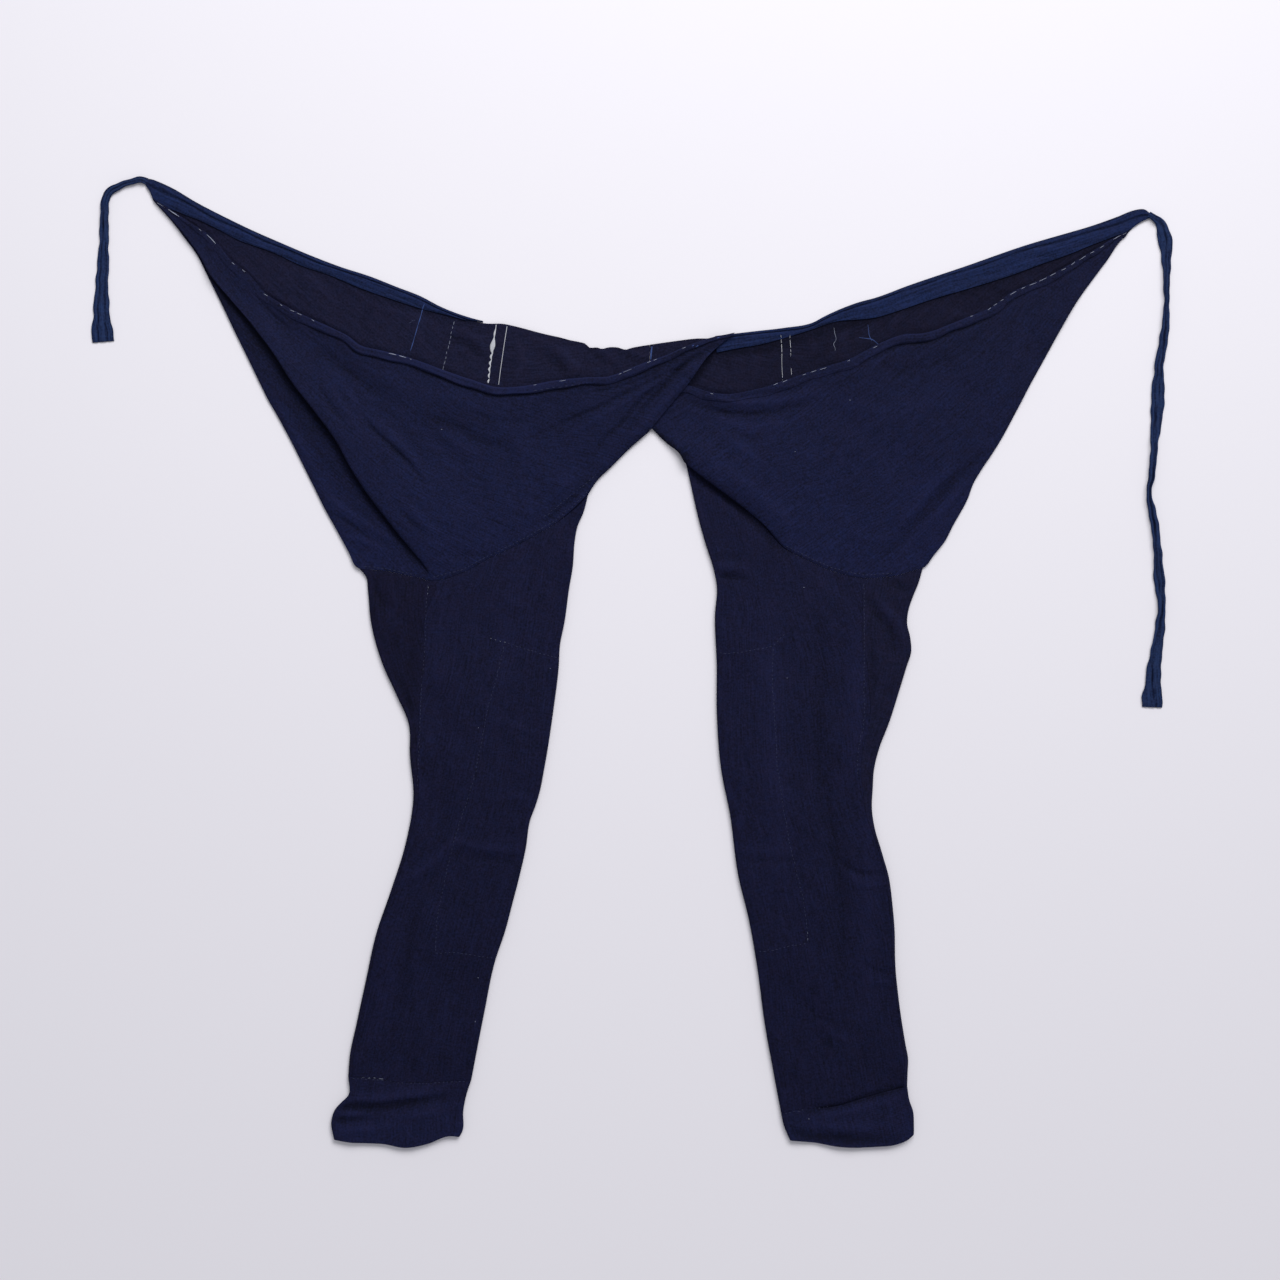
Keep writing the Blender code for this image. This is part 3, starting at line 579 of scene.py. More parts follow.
# %% Edges of the left half
LEFT = {
    "waist": [(-545.2, 542.3), (-538, 541), (-530, 538), (-517, 532), (-488, 515), (-452, 496.5),
              (-426, 484), (-394, 470), (-361, 456), (-327, 443), (-293, 432), (-264, 420.5),
              (-237, 410), (-215, 398.5), (-170, 383), (-140, 378), (-96, 367), (-80, 363.5),
              (-69, 360.5), (-58, 358.3), (-52, 356.5), (-48, 352.5), (-39, 352.4), (-33.5, 350.8),
              (-27, 352.5), (-16, 352.4), (-6.5, 350), (-1, 351.8), (8, 353.6), (20, 355.4)],
    "band_low": [(-545.6, 534.5), (-540.8, 527.6), (-536.8, 518.4), (-508, 504), (-484, 494.5),
                 (-470, 488), (-439, 472), (-405, 460), (-370, 444), (-338, 433), (-305, 419),
                 (-271, 407), (-235, 395.5), (-201, 387), (-187, 383.2), (-167, 380.8)],
    "front": [(-535.7, 518), (-522, 510), (-507.5, 500.5), (-488, 488), (-477, 481), (-464, 468),
              (-448, 449), (-432, 437), (-412, 414), (-394, 402), (-379, 394), (-358, 384),
              (-336, 374), (-318, 365), (-305, 355), (-282, 349), (-260, 344), (-233, 335),
              (-206, 325), (-179, 316), (-152, 308), (-131, 308), (-110, 311), (-87, 315),
              (-56, 318), (-23, 320), (-10, 325), (15, 335), (36, 342), (63, 354), (90, 363),
              (115, 368)],
    "outer": [(-536.6, 516.8), (-528.6, 508), (-513.7, 491), (-501, 474.5), (-487, 455.2),
              (-477.4, 436), (-469, 419), (-461, 403), (-446, 371.6), (-430.5, 340), (-415.5, 309),
              (-407.5, 293), (-398.5, 277.5), (-381.5, 246), (-366, 215), (-358, 199),
              (-342.5, 168), (-333.5, 152), (-316.5, 121), (-308.5, 106), (-305, 104)],
    "seam": [(-305, 104), (-279, 102), (-248, 96), (-224, 91), (-190, 100), (-164, 114),
             (-137, 127), (-110, 141), (-85, 156), (-64, 173), (-49, 188)],
    "crotch": [(-49, 188), (-40, 202), (-23, 219), (-4, 238), (20, 259)],
    "flap": [(20, 259), (36, 279), (63, 311), (87, 344), (115, 368)],
    "leg_outer": [(-305, 104), (-298, 95), (-296, 80), (-293, 47), (-279, -4), (-264, -37),
                  (-250, -71), (-249, -104), (-245, -150), (-254, -205), (-270, -256),
                  (-287, -306), (-298, -356), (-309, -407), (-316, -440), (-318, -464)],
    "leg_inner": [(-49, 188), (-54.5, 167), (-61, 152), (-64, 136), (-66.5, 105), (-70, 85),
                  (-76, 42), (-80.5, 20), (-82, -5), (-88, -54), (-98.5, -121), (-103.5, -146),
                  (-108, -161), (-114, -177), (-119, -209), (-126, -240), (-134, -271),
                  (-142.5, -303), (-153, -334), (-165.5, -393), (-180, -468)],
    "cuff_seam": [(-318, -464), (-290, -466), (-260, -471), (-228, -471), (-180, -468)],
    "cuff_outer": [(-318, -464), (-318, -486), (-325, -493), (-333, -502), (-337, -516),
                   (-334, -535)],
    "cuff_inner": [(-180, -468), (-186, -487), (-189, -503), (-190, -526), (-193, -532)],
    "cuff_hem": [(-334, -535), (-316, -538), (-296, -539), (-278, -540), (-254, -544),
                 (-230, -540), (-204, -531), (-193, -532)],
}
DEEP_FOLD = [(-536, 517.4), (-512.6, 492), (-485.6, 456.2), (-473, 434), (-455, 412), (-435, 389),
             (-417, 367), (-399, 343), (-379, 313), (-354, 281), (-329, 248), (-311, 216),
             (-292, 187), (-268, 155), (-249, 130), (-235, 111), (-224, 91)]
print("left edges:", len(LEFT), "with", sum(map(len, LEFT.values())), "points")

# %% Edges of the right half
RIGHT = {
    "waist": [(579.5, 504.5), (575.5, 507.4), (569, 507.6), (563, 506.4), (544, 499),
              (509.5, 487), (494, 482.5), (441, 467), (375, 444), (310, 422), (272, 408),
              (255, 403.5), (237, 397), (215, 387), (204, 381), (170, 374.5), (138, 370.8),
              (82, 364), (45, 359), (20, 355.4)],
    "band_low": [(582, 497.5), (577, 496), (570, 492.6), (557, 483.7), (541, 477), (516, 467.5),
                 (484, 454.5), (462, 447), (430, 435), (376, 418), (334, 405.5), (300, 394),
                 (271, 385.5), (252, 383.5), (231, 382), (203, 373), (176, 364.5), (144, 355.7),
                 (116, 351), (95, 346.5)],
    "front": [(556, 483.2), (547.5, 479), (532, 470.5), (519, 462.3), (504, 453.6), (494, 447.3),
              (476, 437.5), (457, 428.3), (447, 424), (422, 412), (407, 400), (385, 390),
              (358, 379), (326, 368), (305, 367), (280, 358), (262, 349), (243, 339), (213, 330),
              (181, 319), (155, 310), (128, 303), (111, 300), (84, 303), (67, 309), (20, 301),
              (-19, 291)],
    "outer": [(557, 481.8), (546, 469.8), (533.4, 451), (521, 434.3), (498.5, 403), (480, 371.6),
              (462.8, 340), (445.6, 309), (429.2, 277.5), (412, 246), (401.8, 230), (391.6, 215),
              (382.4, 199), (377, 184), (359.6, 152), (351.4, 136), (338, 119), (329, 107),
              (326, 105)],
    "seam": [(326, 105), (293, 96), (259, 94), (224, 102), (197, 114), (172, 127), (143, 158),
             (116, 182), (90, 202), (60, 224)],
    "crotch": [(60, 224), (54, 233), (38, 246), (22, 262)],
    "flap": [(22, 262), (-19, 291)],
    "leg_outer": [(326, 105), (321.5, 89), (315, 73), (310, 58), (308.5, 43), (312, 27),
                  (313, 11), (308, -5), (298.5, -36), (288.5, -67.5), (276.5, -99), (271, -123),
                  (270, -140), (269, -165), (273, -190), (278.5, -208), (287, -240), (291, -271),
                  (293.5, -300), (294.5, -334), (297.5, -365), (301.5, -397), (306.5, -428),
                  (309.6, -446), (309, -460), (308.5, -475.5)],
    "leg_inner": [(60, 224), (65, 203), (74, 163), (82, 134), (92, 102), (95, 86), (93, 52),
                  (95, -4), (95, -54), (100, -121), (110, -172), (119, -239), (131, -289),
                  (140, -340), (149, -407), (158, -457), (167, -505)],
    "cuff_seam": [(308.5, -475.5), (282, -482), (254, -490.3), (230, -497.5), (220, -499),
                  (188, -501.5), (167, -505)],
    "cuff_outer": [(308.5, -475.5), (311, -492), (315, -503), (316, -518), (316, -529)],
    "cuff_inner": [(167, -505), (170, -519), (177, -536)],
    "cuff_hem": [(316, -529), (309, -535), (297, -540), (272, -543), (233, -543), (202, -538),
                 (177, -536)],
}
print("right edges:", len(RIGHT), "with", sum(map(len, RIGHT.values())), "points")

# %% Smooth lines of both halves
SEAM_SHIFT = 0.3


def half(edges):
    """Smooth lines for one half; the leg starts just below the hip seam, and the cuff the leg."""
    lines = {name: smooth(points) for name, points in edges.items()}
    to_band = np.linalg.norm(lines["waist"] - lines["band_low"][-1], axis=1)
    lines["band_top"] = lines["waist"][:to_band.argmin() + 1]
    lines["leg_top"] = lines["seam"] - (0, SEAM_SHIFT)
    lines["cuff_top"] = lines["cuff_seam"] - (0, SEAM_SHIFT)
    for part, top in (("leg", "leg_top"), ("cuff", "cuff_top")):
        lines[part + "_outer"][0] = lines[top][0]
        lines[part + "_inner"][0] = lines[top][-1]
    return lines


left, right = half(LEFT), half(RIGHT)
print("hip seams in mm:", round(length(left["seam"])), round(length(right["seam"])))

# %% [markdown]
# ## Back panels
#
# The backs are one flat layer on the table, joined by a seam at the middle. Only the strip
# between the waist and the front hems shows, with the inside of the cloth up. A patch from the
# outer edge and hip seam to the waist makes each panel, and its edge stays just inside the
# waistband that is folded over it. The soft creases are only where the panel shows.

# %% Back panels
CELL = 3.3
FRONT_CELL = 2.8
BACK_TOP = WALL
BAND_INSET = 2.6
BAND_FADE = 25.0
MIDDLE_GAP = 0.2
BACK_LIFT = 1.1
# Crease ridges on the back paler from wear, troughs darker with painted shadow of the wrinkles
BACK_WEAR_AND_SHADE = 0.36
BACK_WEAR_AND_SHADE_LIMITS = (-0.6, 0.3)
BACK_CREASING = 1.5
# Painted shadow of the waistband on the back just below its lower edge, and how far it reaches
BAND_PAINTED_SHADOW = 0.45
BAND_PAINTED_SHADOW_REACH = 6.0
# More columns than the cells ask for, and closer together towards the waist, where the back shows
BACK_COLUMNS = 1.4
BACK_CROWDING = 0.8
# The relief of the back grows from nothing over these distances from the hem and the band
SHOWS_FROM_HEM = 3.0
SHOWS_FROM_BAND = 6.0
LEFT_BACK_CREASES = [
    (-1.1, 7, 0.0, [(-206, 362), (-185, 357), (-164, 336)]),
    (0.9, 8, 0.3, [(-204, 374), (-180, 366), (-160, 348)]),
    (0.7, 8, 0.3, [(-300, 402), (-262, 392), (-222, 380)]),
    (-1.2, 9, 0.0, [(-100, 346), (-88, 338), (-74, 321)]),
    (0.9, 9, 0.2, [(-92, 356), (-74, 344), (-58, 326)]),
    (0.8, 8, 0.2, [(-128, 362), (-122, 340), (-128, 318)]),
    (-1.1, 7, 0.0, [(-46, 350), (-38, 343), (-26, 334)]),
    (0.8, 6, 0.4, [(-34, 351), (-24, 342), (-14, 334)]),
    (-1.1, 6, 0.0, [(-16, 349), (-4, 342), (14, 336)]),
    (0.7, 5, 0.2, [(-2, 350), (8, 345), (18, 342)]),
    (0.6, 9, 0.0, [(-236, 396), (-240, 372), (-236, 350)]),
    (-0.6, 9, 0.0, [(-290, 398), (-300, 384), (-300, 368)]),
    (0.6, 10, 0.0, [(-380, 440), (-352, 424), (-330, 400)]),
]
RIGHT_BACK_CREASES = [
    (-2.2, 6, 0.0, [(94, 352), (84, 336), (74, 320), (62, 304)]),
    (-1.0, 9, 0.0, [(84, 345), (140, 349), (196, 362), (240, 374)]),
    (-0.9, 8, 0.0, [(220, 372), (246, 378), (268, 380)]),
    (0.8, 7, 0.2, [(134, 352), (140, 334), (136, 316)]),
    (0.7, 7, 0.0, [(198, 366), (204, 350), (200, 332)]),
    (-0.7, 6, 0.0, [(196, 330), (206, 342), (222, 352)]),
    (0.8, 8, 0.3, [(246, 378), (238, 362), (240, 348)]),
    (0.7, 8, 0.0, [(300, 390), (292, 376), (294, 366)]),
    (0.7, 6, 0.0, [(58, 356), (66, 338), (64, 322)]),
    (-0.6, 7, 0.0, [(96, 340), (110, 326), (114, 312)]),
    (0.6, 9, 0.0, [(340, 404), (352, 392), (372, 388)]),
    (-0.6, 8, 0.0, [(400, 420), (412, 412), (430, 412)]),
]


def count(size, cell=CELL):
    """Points for a run of this size."""
    return max(2, round(size / cell) + 1)


def inside_band(edges):
    """The waist line of the back, drawn in where the band is folded over it."""
    waist = edges["waist"]
    inward = square_to(ways(waist))
    if inward[0, 1] > 0:
        inward = -inward
    run = distances(waist)
    under_band = 1 - ease((run - length(edges["band_top"])) / BAND_FADE)
    return waist + inward * BAND_INSET * under_band[:, None]


def back_panel(side, edges, creases, sign):
    """One back panel; sign is 1 on the right and -1 on the left."""
    waist, low = inside_band(edges), np.concatenate([edges["outer"], edges["seam"][1:]])
    end = np.concatenate([edges["crotch"], waist[-1:]])
    start = np.array([low[0], waist[0]])
    down = np.linspace(0, 1, count(length(waist)))
    across = np.linspace(0, 1, count(length(end) * BACK_COLUMNS)) ** BACK_CROWDING
    plan = patch(low, waist, start, end, np.tile(across, (len(down), 1)), down)
    middle = waist[-1, 0] + sign * MIDDLE_GAP / 2
    plan[..., 0] = sign * np.maximum(sign * plan[..., 0], sign * middle)

    flat = plan.reshape(-1, 2)
    to_front, above = nearest_on(flat, edges["front"][::5])[:2]
    to_band, below = nearest_on(flat, edges["band_low"][::5])[:2]
    past_band = (flat[:, 0] - edges["band_low"][-1, 0]) * sign < 0
    shows = ease(np.where(above * -sign > 0, to_front, 0) / SHOWS_FROM_HEM)
    below_band = ease(np.where(below * sign > 0, to_band, 0) / SHOWS_FROM_BAND)
    shows *= np.where(past_band, 1, below_band)
    folds = creased(plan, creases).ravel()
    relief = BACK_LIFT + unevenness(plan).ravel() + BACK_CREASING * folds
    relief = np.maximum(relief, 0) * shows
    # Ridges paler from wear, troughs darker with painted shade
    wear_and_shade = np.clip(BACK_WEAR_AND_SHADE * folds, *BACK_WEAR_AND_SHADE_LIMITS)
    # Painted shadow under the waistband's lower edge
    wear_and_shade -= BAND_PAINTED_SHADOW * np.exp(-(to_band / BAND_PAINTED_SHADOW_REACH) ** 2) * (1 - past_band)
    points = np.concatenate([plan, BACK_TOP + relief.reshape(plan.shape[:-1])[..., None]], axis=-1)
    cloth("back_" + side, points, "hip_back_" + side, inside_cotton, wear_and_shade=wear_and_shade)


back_panel("left", left, LEFT_BACK_CREASES, -1)
back_panel("right", right, RIGHT_BACK_CREASES, 1)

# %% [markdown]
# ## Legs
#
# A leg is a flat tube sewn from two pieces: a wide one that turns round the inner edge, and a
# narrow one at the outer edge. Pressed flat it keeps a rounded fold at each side. Its section is
# worked out for each row: a half circle at each folded edge and flat runs between them. The
# creases are on the front half only, because the back half rests on the table.

# %% Legs
FLAT_RADIUS = 1.8
LEG_RADIUS = 2.4
LEG_SWELL = 0.2
TURN_CELLS = 8
BACK_CELL = 6.0
TUBE_GAP = 0.2
EDGE_CALM = 6.0
LEG_WEAR_AND_SHADE_LIMITS = (-0.5, 0.35)
# Least space between two layers of cloth
PLY_SPACE = 0.1
BACK_SEAM_AT_CUFF = 0.35
# Places down the leg, and how far the side seam is from the outer edge there
LEFT_SIDE_SEAM = [(0.00, 82.0), (0.045, 68.0), (0.18, 48.0), (0.24, 30.0), (0.305, 13.0),
                  (0.42, 8.0), (0.50, 6.0), (1.00, 6.0)]
RIGHT_SIDE_SEAM = [(0.00, 68.0), (0.10, 50.0), (0.14, 52.0), (0.20, 41.0), (0.26, 29.0),
                   (0.33, 22.0), (0.38, 17.0), (0.50, 6.0), (1.00, 6.0)]
RIGHT_CUFF_FOLD = (-2.6, 7, 0.0, [(196, -504), (220, -499.5), (230, -498), (254, -491),
                                  (282, -482.7), (308.5, -476), (330, -470)])
LEFT_LEG_CREASES = [
    (-0.8, 3.5, 0.0, LEFT["seam"]),
    (3.0, 9, 0.5, [(-256, -244), (-240, -236), (-222, -222), (-204, -204), (-192, -196)]),
    (2.0, 10, -0.3, [(-200, -202), (-176, -208), (-150, -211), (-122, -214)]),
    (-1.2, 6, 0.0, [(-196, -216), (-172, -221), (-146, -223), (-126, -229)]),
    (-1.2, 16, 0.0, [(-240, 60), (-247, 0), (-250, -60)]),
    (1.0, 5, 0.2, [(-188, 28), (-189, 18)]),
    (1.3, 9, -0.2, [(-160, -64), (-134, -72), (-104, -82)]),
    (1.5, 8, 0.0, [(-136, -150), (-116, -154)]),
    (-1.0, 6, 0.0, [(-138, -166), (-118, -170)]),
    (1.0, 20, 0.0, [(-130, 120), (-142, 20), (-160, -90)]),
    (1.0, 7, 0.2, [(-214, 70), (-216, 20), (-220, -60)]),
    (-1.0, 12, 0.0, [(-216, -90), (-206, -170), (-214, -210)]),
    (1.1, 20, 0.0, [(-262, -280), (-274, -350), (-290, -430)]),
    (-1.2, 14, 0.0, [(-240, -270), (-252, -330), (-262, -400)]),
    (1.2, 10, 0.4, [(-206, -380), (-214, -420), (-232, -458)]),
    (-2.2, 9, 0.0, [(-291, 92), (-286, 76), (-277, 60)]),
    (1.4, 8, 0.0, [(-276, 96), (-268, 74), (-262, 50)]),
    (-1.8, 8, 0.0, [(-262, -14), (-254, -38), (-250, -62)]),
    (0.9, 7, 0.0, [(-110, 60), (-134, 66), (-150, 80)]),
]
RIGHT_LEG_CREASES = [
    (-0.8, 3.5, 0.0, RIGHT["seam"]),
    RIGHT_CUFF_FOLD,
    (-3.0, 3.2, 0.0, RIGHT_CUFF_FOLD[3]),
    (-3.2, 10, 0.0, [(58, 219), (87, 199), (113, 178), (139, 154), (160, 132), (178, 119)]),
    (-1.5, 17, 0.0, [(209, 66), (211, 0), (211, -114), (217, -160), (227, -203), (233, -289),
                     (233, -334), (228, -378)]),
    (1.8, 26, 0.0, [(150, 60), (158, -100), (165, -260)]),
    (1.8, 20, 0.0, [(250, 40), (250, -60), (245, -130)]),
    (1.6, 20, 0.0, [(262, -160), (263, -280), (264, -400)]),
    (-1.8, 6, 0.0, [(232, -220), (242, -231), (262, -238), (284, -236)]),
    (0.9, 7, 0.2, [(236, -232), (246, -242), (264, -250), (288, -248)]),
    (-1.5, 5, 0.0, [(262, -338), (275, -346), (291, -348)]),
    (1.3, 7, 0.2, [(262, -350), (275, -358), (291, -360)]),
    (2.2, 12, 0.4, [(272, 78), (290, 54), (306, 36), (308, 14)]),
    (-2.4, 9, 0.0, [(262, 74), (274, 54), (288, 36), (296, 10)]),
    (-1.6, 8, 0.0, [(266, 20), (268, -20), (264, -60)]),
    (-2.6, 7, 0.0, [(88, 95), (98, 95), (112, 94), (128, 92)]),
    (1.8, 8, 0.0, [(90, 106), (108, 106), (126, 104)]),
    (-1.4, 10, 0.0, [(279, 92), (300, 84), (316, 76)]),
    (-1.0, 5, 0.0, [(122, -222), (150, -224), (189, -222)]),
    (1.0, 8, 0.0, [(120, -212), (150, -212), (186, -211)]),
    (0.9, 14, 0.3, [(112, -180), (128, -230), (150, -262)]),
    (-1.0, 6, 0.0, [(204, -414), (216, -428), (236, -436)]),
    (1.0, 7, 0.0, [(212, -406), (226, -418), (244, -426)]),
    (-0.9, 6, 0.0, [(196, -384), (208, -398), (226, -404)]),
    (-1.0, 7, 0.0, [(98, 120), (112, 116), (128, 118)]),
]


def tube(edges, names, down, radii, places_of, creases, wall=WALL):
    """Points round part of a flat tube, and the height of the creases at each of them.

    A place is in millimetres from the outer edge along the surface: positive on the front and
    negative on the back.
    """
    outer, inner, start, end = [edges[name] for name in names]
    widths = np.linalg.norm(along(inner, down) - along(outer, down), axis=1)
    widths[0] = length(start)
    places = np.stack([places_of(w, r, v) for w, r, v in zip(widths, radii, down)])
    width, radius = widths[:, None], radii[:, None]
    quarter = math.pi / 2 * radius
    inner_fold = quarter + width - 2 * radius
    run = np.abs(places)
    turn = np.clip(np.minimum(run, inner_fold + quarter - run) / radius, 0, math.pi / 2)
    round_in = radius * (1 - np.cos(turn))
    inset = np.where(run < quarter, round_in, run - quarter + radius)
    inset = np.where(run > inner_fold, width - round_in, inset)
    height = radius + np.copysign(radius * np.sin(turn), places)
    plan = patch(outer, inner, start, end, inset / width, down)
    takes = ease(np.minimum(run - quarter, inner_fold - run) / EDGE_CALM) * (places > 0)
    folds = creased(plan, creases) * takes
    relief = np.maximum(folds + unevenness(plan) * takes, 2 * wall + PLY_SPACE - 2 * radius)
    return np.concatenate([plan, (height + relief)[..., None]], axis=-1), folds


def main_places(front_seam, back_seam, wide):
    """Function for the places of a leg's wide piece, from front seam over the inner edge."""
    def places(width, radius, v):
        quarter = math.pi / 2 * radius
        inner = quarter + width - 2 * radius
        front = np.linspace(front_seam(v) + TUBE_GAP / 2, inner, count(wide))
        turn = quarter * np.linspace(0, 1, TURN_CELLS // 2 + 1)[1:]
        back = -np.linspace(inner, back_seam(v) + TUBE_GAP / 2, count(wide, BACK_CELL))
        return np.concatenate([front, inner + turn, -(inner + turn[-2::-1]), back])
    return places


def side_places(front_seam, back_seam):
    """Function for the places of a leg's narrow piece, from back seam over the outer edge."""
    def places(_, radius, v):
        quarter = math.pi / 2 * radius
        turn = quarter * np.linspace(0, 1, TURN_CELLS // 2 + 1)
        back = -np.linspace(back_seam(v) - TUBE_GAP / 2, quarter, count(front_seam(0), BACK_CELL))
        front = np.linspace(quarter, front_seam(v) - TUBE_GAP / 2, count(front_seam(0)))
        return np.concatenate([back[:-1], -turn[:0:-1], turn, front[1:]])
    return places


def leg(side, edges, side_seam, creases):
    """Two pieces of cloth for one leg."""
    down = np.linspace(0, 1, count(length(edges["leg_inner"])))
    radii = FLAT_RADIUS + (LEG_RADIUS - FLAT_RADIUS) * np.clip(down / LEG_SWELL, 0, 1)

    def front_seam(v):
        return float(read(side_seam, v))

    def back_seam(v):
        return side_seam[0][1] * (1 + v * (BACK_SEAM_AT_CUFF - 1))

    names = ("leg_outer", "leg_inner", "leg_top", "cuff_seam")
    wide = length(edges["leg_top"]) - side_seam[0][1]
    for name, places, material in (
            ("leg_front_", main_places(front_seam, back_seam, wide), leg_cotton),
            ("leg_side_", side_places(front_seam, back_seam), side_cotton)):
        points, folds = tube(edges, names, down, radii, places, creases)
        # Crease ridges paler from wear, crease troughs darker with painted shade
        cloth(name + side + "_cloth", points, name + side, material,
              wear_and_shade=np.clip(folds * RIDGE_WEAR_AND_SHADE, *LEG_WEAR_AND_SHADE_LIMITS))


leg("left", left, LEFT_SIDE_SEAM, LEFT_LEG_CREASES)
leg("right", right, RIGHT_SIDE_SEAM, RIGHT_LEG_CREASES)

# %% [markdown]
# ## Cuffs
#
# Each ankle ends in a turned band, sewn on as one ring and a little fuller than the leg, so it
# buckles into one strong fold across the front. The ring is the same flat tube, closed all round,
# and the fold is a deep trough with a ridge along it.

# %% Cuffs
CUFF_RADIUS = 2.7
CUFF_CELL = 2.6
CUFF_WALL = 1.4
# Cuff crease ridges paler from wear, troughs darker with painted shade
CUFF_WEAR_AND_SHADE = 0.2
CUFF_WEAR_AND_SHADE_LIMITS = (-0.6, 0.3)
LEFT_CUFF_CREASES = [
    (-0.8, 3.0, 0.0, LEFT["cuff_seam"]),
    (2.4, 9, -0.5, [(-336, -491), (-305, -490.5), (-276, -490.5), (-246, -486), (-214, -481)]),
    (-3.3, 7.5, 0.0, [(-344, -497.5), (-318, -499), (-300, -500), (-280, -499.3), (-260, -496.3),
                      (-240, -493.3), (-210, -488)]),
    (-2.3, 5.5, 0.0, [(-350, -514), (-326, -513.4), (-308, -512.8), (-294, -512)]),
    (1.6, 7, 0.0, [(-340, -507), (-318, -507), (-296, -505.5)]),
    (1.8, 9, 0.0, [(-336, -525), (-304, -524), (-268, -520)]),
    (1.3, 9, 0.0, [(-262, -509), (-236, -507), (-204, -500)]),
]
RIGHT_CUFF_CREASES = [
    (-0.8, 3.0, 0.0, RIGHT["cuff_seam"][4:]),
    RIGHT_CUFF_FOLD,
    (-3.0, 3.2, 0.0, RIGHT_CUFF_FOLD[3]),
    (1.5, 8, 0.0, [(200, -514), (236, -505), (270, -495), (312, -486)]),
    (-3.2, 10, 0.0, [(158, -518), (178, -526), (194, -530.5), (240, -535), (300, -535.5)]),
    (1.4, 7, 0.0, [(198, -518), (240, -521), (286, -519)]),
]


def cuff(side, edges, creases):
    """Ring of turned cloth at one ankle."""
    down = np.linspace(0, 1, count(length(edges["cuff_inner"]), CUFF_CELL))
    wide = length(edges["cuff_top"])

    def places(width, radius, _):
        quarter = math.pi / 2 * radius
        inner = quarter + width - 2 * radius
        turn = quarter * np.linspace(0, 1, TURN_CELLS // 2 + 1)
        front = np.linspace(quarter, inner, count(wide, CUFF_CELL))
        back = -np.linspace(inner, quarter, count(wide, BACK_CELL))
        inner_turn = [inner + turn[1:], -(inner + turn[-2::-1])]
        return np.concatenate([turn[:-1], front, *inner_turn, back[1:], -turn[-2::-1]])

    names = ("cuff_outer", "cuff_inner", "cuff_top", "cuff_hem")
    radii = np.full(len(down), CUFF_RADIUS)
    points, folds = tube(edges, names, down, radii, places, creases, CUFF_WALL)
    # Crease troughs get painted shade, ridges real wear
    cloth("cuff_" + side + "_cloth", points, "cuff_" + side, cuff_cotton,
          wall=CUFF_WALL, wear_and_shade=np.clip(folds * CUFF_WEAR_AND_SHADE, *CUFF_WEAR_AND_SHADE_LIMITS), joined=True)


cuff("left", left, LEFT_CUFF_CREASES)
cuff("right", right, RIGHT_CUFF_CREASES)

# %% [markdown]
# ## Front panels
#
# The fronts carry the look of the garment: each has one deep fold that stands up and casts a
# dark line, a fan of fine creases from the crossing, and a hem on its upper edge. The rows of a
# panel's grid run from the waist's tip to the hip seam and the crossing, and its columns from the
# side to the hem. The deep fold's section is a short table, and just above its foot the cloth is
# pushed out over it, so it overhangs as a real fold does. Free edges roll down.

# %% Helpers for the front panels
FRONT_TOP = 3.6
LOWEST_FRONT = 2 * WALL + 0.2
HEM_COLUMNS = 9
HEM_SHARE = 0.4
HEM_WAVER = 0.08
HEM_WAVER_WAVES = [(1, 47, 0), (0.6, 113, 1)]
EDGE_SMOOTHING = 12
END_TURN = 0.88
# A row's direction at the hem is taken over this last share of it
ROW_END = [0.97, 1.0]
# Columns are evenly spaced at the tip, and widths go over to the end edge's near the end
TIP_SPREAD = 3
END_SPREAD = 4
# Distances of the first cells from the foot of a deep fold, and from the right front's plain side
NEAR_FOLD = [0, 0.7, 1.5, 2.4, 3.4, 4.6, 6.0, 8.0, 10.5]
NEAR_SIDE = [0, 0.5, 1.2, 2.2, 3.6, 5.4]
SECTION_LIMIT = 1.02
# A fold of this height has the whole overhang and the whole dip at its foot
FULL_RISE = 7.0
OVERHANG = 5.0
OVERHANG_TABLE = [(0.0, -0.3), (1.2, 0.4), (2.6, 1.0), (4.5, 0.95), (8.0, 0.4), (16.0, 0.0),
                  (60.0, 0.0)]
SIDE_DROP = 1.5
SIDE_REACH = 6.0
EDGE_DROP = 1.3
EDGE_REACH = 4.0
GUTTER_DEPTH = 1.0
# Painted shade in the line just below the hem
GUTTER_PAINTED_SHADE = 0.6
GUTTER_OFFSET = 0.8
GUTTER_WIDTH = 2.2
GUTTER_COLUMNS = 10
GUTTER_EVEN = 0.85
GUTTER_WAVES = [(0.15, 61, 1)]


def hem_ways(edge, row_way, down):
    """For each row at the panel's edge: square in from it, how the hem is laid, and its room."""
    steps = np.gradient(edge, axis=0)
    for _ in range(EDGE_SMOOTHING):
        steps[1:-1] = (steps[:-2] + 2 * steps[1:-1] + steps[2:]) / 4
    inward = square_to(steps / np.linalg.norm(steps, axis=1)[:, None])
    inward *= np.sign((inward * row_way).sum())
    turn = ease((down - END_TURN) / (1 - END_TURN))[:, None]
    way = (1 - turn) * inward + turn * row_way
    way /= np.linalg.norm(way, axis=1)[:, None]
    room = HEM_SHARE * np.abs((row_way * inward).sum(1))
    return inward, way, room


